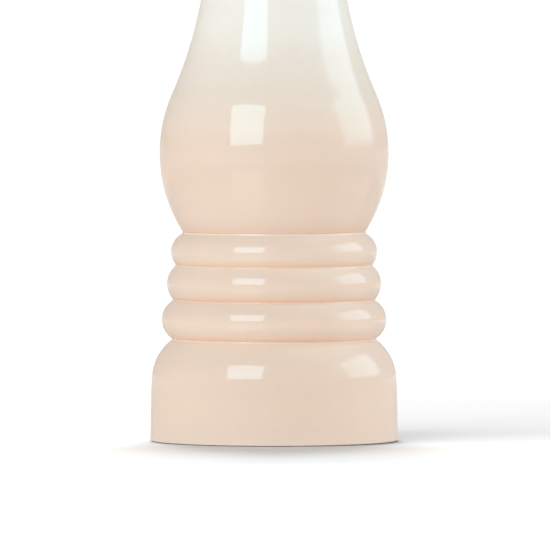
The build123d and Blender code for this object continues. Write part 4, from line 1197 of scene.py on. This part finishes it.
def spring_clip():
    """Open clip: a flat section swept round the axis from one side of its straight-cut mouth to the
    other. At the radius r the mouth takes asin(half its width / r) on each side."""
    points = [
        (CLIP_GROOVE, CLIP_BOTTOM), (CLIP_RADIUS, CLIP_BOTTOM),
        (CLIP_RADIUS, CLIP_BOTTOM + CLIP_THICK), (CLIP_GROOVE, CLIP_BOTTOM + CLIP_THICK),
    ]
    line, _ = outline(*loop(points, 0.12))
    r, z = line[::-1, 0], line[::-1, 1]
    middle = np.array([(CLIP_GROOVE + CLIP_RADIUS) / 2, CLIP_BOTTOM + CLIP_THICK / 2])
    shares = np.concatenate([[0, 0], np.linspace(0, 1, ROUND_THE_CLIP), [1, 1]])
    size = np.ones(len(shares))
    size[[0, -1]] = 0
    size[[1, -2]] = 0.9
    rows = []
    for share, scale in zip(shares, size):
        here_r, here_z = middle[0] + (r - middle[0]) * scale, middle[1] + (z - middle[1]) * scale
        mouth = np.arcsin(CLIP_MOUTH / 2 / here_r)
        rows.append((here_r, mouth + share * (2 * pi - 2 * mouth), here_z))
    return fit(through("spring_clip", rows, False, 0.5 * size), "grinder", PLAIN_STEEL, "retaining_clip")


def softened(node, name, body, coat, width):
    """A node's own shape with its edges rounded: a merged copy of its triangles, flat parts joined
    into single faces, bevelled where faces meet at more than an angle."""
    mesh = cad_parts[node].data.copy()
    mesh.name = name
    work = bmesh.new()
    work.from_mesh(mesh)
    bmesh.ops.remove_doubles(work, verts=work.verts, dist=MERGED)
    bmesh.ops.dissolve_limit(work, angle_limit=radians(1.0), verts=work.verts, edges=work.edges)
    work.to_mesh(mesh)
    work.free()
    piece = stand(name, mesh)
    bevel = piece.modifiers.new("edges", "BEVEL")
    bevel.width = width * MM
    bevel.segments = 2
    bevel.limit_method = "ANGLE"
    bevel.angle_limit = radians(BEVELLED_FROM)
    bevel.use_clamp_overlap = True
    bevel.harden_normals = True
    return fit(piece, body, coat, node)


for make in (
    ringed_base, base_bosses, base_ribs, bulb_and_neck, domed_head, glide_ring, steel_cap,
    ball_knob, hopper_liner, square_rod, burr_spring, grinding_cone, grinding_ring, burr_nut,
    brass_insert, spring_clip,
):
    make()

for name, node, body, coat, inner, outer, bottom, top in (
    ("bridge_washer", "hub_washer", "body", PLAIN_STEEL,
     HUB_BORE + SEATED, HUB_WASHER_RADIUS, HUB_TOP, HUB_TOP + HUB_WASHER_THICK),
    ("seat_ring", "spring_seat", "seat", PLAIN_STEEL,
     SPINDLE_CORNER + WASHER_FIT, SEAT_RADIUS, ROTOR_TOP, ROTOR_TOP + SEAT_THICK),
    ("nut_ring", "rotor_washer", "grinder", PLAIN_STEEL,
     THREAD_RADIUS + WASHER_FIT, NUT_POCKET - 0.6, POCKET_TOP - ROTOR_WASHER_THICK, POCKET_TOP),
    ("knob_ring", "knob_washer", "washer", TURNED_STEEL, *KNOB_WASHER, CAP_TOP, KNOB_BOTTOM),
):
    fit(washer(name, inner, outer, bottom, top), body, coat, node)

for node, name, body, coat, width in (
    ("burr_carrier", "ribbed_carrier", "body", IVORY_PLASTIC, 0.2),
    ("burr_bridge", "funnel_bridge", "body", IVORY_PLASTIC, 0.2),
    ("head_plug", "ribbed_plug", "head", IVORY_PLASTIC, 0.2),
    ("drive_plate", "square_drive_plate", "head", PLAIN_STEEL, 0.1),
    ("carrier_screws", "pan_head_screws", "body", PLAIN_STEEL, 0.08),
    ("drive_screws", "countersunk_screws", "head", PLAIN_STEEL, 0.06),
):
    softened(node, name, body, coat, width)

# ---- Floor, world, lamps and camera ----
FLOOR_HALF = 30.0  # metres
FLOOR_GLOW = 0.02  # the floor's own light near the mill, as the camera sees it
FLOOR_GLOW_RANGE = (0.22, 0.7)  # metres from the mill between which that rises to full
FLOOR_WHITE = 0.12  # the floor's paint as the camera sees it
FLOOR_BOUNCE = 0.063  # and as it lights the mill
FLOOR_LIFT = 0.715  # the even light that the floor sends up to the mill
FLOOR_MIRRORED = 0.30  # the share of its glow that reflections show
AMBIENT = (0.495, 0.409, 0.370, 1)  # the light from all round
MIRRORED = (0.68, 0.62, 0.57, 1)  # the studio in reflections
WHITE, BLACK = (1, 1, 1, 1), (0, 0, 0, 1)
EYE = (0.00024, -2.4, 0.115)
LOOK_AT = (0.00024, 0.0, 0.04362)
LENS = 598.5
SENSOR = 36.0
LAMP_TARGET = np.array([0.0, 0.0, 0.07])
NEUTRAL = (1.0, 0.99, 0.97)  # the colour of the lamps that metal and cream pieces mirror

# Lamps: azimuth and elevation in degrees, distance and (width, height) in metres, power in watts,
# colour, how much of the half-width fades out, and the turn in its own plane.
FILLS = {
    "left_fill": (-27.0, 22.5, 1.2, (0.74, 0.72), 6.78, (0.645, 0.886, 0.995), 0),
    "right_fill": (100.0, 24.0, 1.1, (0.80, 1.20), 11.34, (0.60, 0.87, 1.0), 0.5),
}
FLOOR_LAMPS = {
    "floor_side_light": (-38.0, 24.0, 1.21, (1.80, 0.50), 152.0, (1.0, 1.0, 1.0), 0),
    "floor_back_light": (180.0, 68.0, 1.2, (0.34, 0.50), 83.0, (1.0, 1.0, 1.0), 0),
}
LEFT_MIRRORED = (-28.9, 22.1, 1.18, (0.725, 0.66))
RIGHT_MIRRORED = (97.0, 20.0, 1.08, (1.10, 0.75))


def pale_floor():
    """A wide pale floor. To the camera and in reflections it has a glow of its own, stronger further out,
    so that it is white and still holds the mill's shadow. In front of the mill its paint is a little
    warmer: painted warm light, bounced from the mill. Seen from below it is clear."""
    side = np.array([-FLOOR_HALF, FLOOR_HALF])
    mesh = bpy.data.meshes.new("floor")
    mesh.from_pydata([(x, y, 0.0) for y in side for x in side], [], [(0, 1, 3, 2)])
    floor = stand("floor", mesh)
    made, tree, shader = finish("pale_floor")
    made.cycles.emission_sampling = "NONE"
    path = put(tree, "ShaderNodeLightPath").outputs
    where = split(tree, place(tree))
    out = from_axis(tree, where)
    # Painted warm light in front of the mill, standing for light bounced off its beige shell.
    before = times(tree, ranged(tree, where["Y"], -0.04, -0.02, 1, 0), ranged(tree, out, 0.05, 0.09, 1, 0))
    white, warm = (FLOOR_WHITE,) * 3 + (1,), (FLOOR_WHITE, FLOOR_WHITE * 0.95, FLOOR_WHITE * 0.9, 1)
    paint = blended(tree, before, white, warm)
    paint = blended(tree, path["Is Camera Ray"], (FLOOR_BOUNCE,) * 3 + (1,), paint)
    seen = calc(tree, "MAXIMUM", path["Is Camera Ray"], path["Is Transmission Ray"])
    seen = calc(tree, "MAXIMUM", seen, times(tree, path["Is Glossy Ray"], FLOOR_MIRRORED))
    glow = times(tree, seen, ranged(tree, out, *FLOOR_GLOW_RANGE, FLOOR_GLOW, 1.0))
    feed(tree, shader, {
        "Specular IOR Level": times(tree, path["Is Glossy Ray"], 0.5),
        "Roughness": 0.12,
        "IOR": 2.0,
        "Base Color": paint,
        "Emission Color": WHITE,
        "Emission Strength": plus(tree, glow, times(tree, path["Is Diffuse Ray"], FLOOR_LIFT)),
    })
    back = put(tree, "ShaderNodeNewGeometry").outputs["Backfacing"]
    clear = put(tree, "ShaderNodeBsdfTransparent").outputs[0]
    both = put(tree, "ShaderNodeMixShader", {0: back, 1: shader.outputs[0], 2: clear}).outputs[0]
    tree.links.new(both, tree.nodes["Material Output"].inputs["Surface"])
    mesh.materials.append(made)
    return floor


def soft_world():
    """An even studio: white to the camera, paler than that and warm as light, and in reflections
    darker towards the front, so that polished metal has a core."""
    world = bpy.data.worlds.new("studio")
    bpy.context.scene.world = world
    world.use_nodes = True
    tree = world.node_tree
    path = put(tree, "ShaderNodeLightPath").outputs
    way = split(tree, put(tree, "ShaderNodeTexCoord").outputs["Generated"])
    front = ranged(tree, way["Y"], -0.9, 0.3, 0.55, 0.0)
    seen = blended(tree, path["Is Glossy Ray"], WHITE, blended(tree, front, MIRRORED, BLACK))
    colour = blended(tree, path["Is Diffuse Ray"], seen, AMBIENT)
    tree.links.new(colour, tree.nodes["Background"].inputs["Color"])


def softbox(name, azimuth, elevation, distance, size, power, colour, edge, roll=0.0):
    """A rectangular lamp aimed at the mill. azimuth is to the right of the camera's side. edge is the
    share of its half-width over which it fades out. roll turns it in its own plane."""
    light = bpy.data.lights.new(name, "AREA")
    light.shape = "RECTANGLE"
    light.size, light.size_y = size
    light.energy = power
    light.color = colour
    lamp = stand(name, light)
    turn, rise = radians(azimuth), radians(elevation)
    away = np.array([sin(turn) * cos(rise), -cos(turn) * cos(rise), sin(rise)])
    lamp.location = LAMP_TARGET + distance * away
    aimed = Euler((pi / 2 - rise, 0, turn)).to_matrix()
    lamp.rotation_euler = (aimed @ Euler((0, 0, radians(roll))).to_matrix()).to_euler()
    lamp.visible_camera = False
    if edge:
        light.use_nodes = True
        tree = light.node_tree
        across = split(tree, put(tree, "ShaderNodeNewGeometry").outputs["Parametric"])
        fades = []
        for axis in "XY":
            middle = calc(tree, "ABSOLUTE", calc(tree, "SUBTRACT", across[axis], 0.5))
            fades.append(ranged(tree, middle, 0.5 - edge / 2, 0.5, 1.0, 0.0))
        tree.links.new(times(tree, *fades), tree.nodes["Emission"].inputs["Strength"])
    return lamp


def collected(name, pieces):
    """A collection of pieces for a lamp to light."""
    group = bpy.data.collections.new(name)
    for piece in pieces:
        group.objects.link(piece)
    return group


def camera():
    """A long lens at table height, looking along +Y and a little down."""
    data = bpy.data.cameras.new("camera")
    data.lens, data.sensor_width = LENS, SENSOR
    data.clip_start, data.clip_end = 0.05, 200.0
    eye = stand("camera", data)
    eye.location = EYE
    down = atan2(EYE[2] - LOOK_AT[2], LOOK_AT[1] - EYE[1])
    eye.rotation_euler = (pi / 2 - down, 0, 0)
    bpy.context.scene.camera = eye


floor = pale_floor()
soft_world()
for name, settings in FILLS.items():
    softbox(name, *settings).visible_glossy = False

# The lacquered shells mirror tinted lamps, and all else mirrors neutral ones at the same places.
meshes = [piece for piece in bpy.context.scene.objects if piece.type == "MESH"]
shells = ("ringed_base", "bulb_and_neck")
beige = collected("beige_pieces", [piece for piece in meshes if piece.name in shells])
others = collected("other_pieces", [piece for piece in meshes if piece.name not in shells])
for receivers, left_power, left_colour, right_power, right_colour in (
    (beige, 5.6, (0.50, 0.84, 1.0), 5.3, (0.54, 0.83, 0.97)),
    (others, 4.2, NEUTRAL, 4.0, NEUTRAL),
):
    for lamp in (
        softbox(f"left_reflection_on_{receivers.name}", *LEFT_MIRRORED, left_power, left_colour, 0.04, 4.5),
        softbox(f"right_reflection_on_{receivers.name}", *RIGHT_MIRRORED, right_power, right_colour, 0.42),
    ):
        lamp.visible_diffuse = False
        lamp.light_linking.receiver_collection = receivers

only_floor = collected("only_floor", [floor])
for name, settings in FLOOR_LAMPS.items():
    lamp = softbox(name, *settings)
    lamp.light_linking.receiver_collection = only_floor
    lamp.visible_glossy = False
camera()
bpy.context.scene.view_settings.view_transform = "Standard"
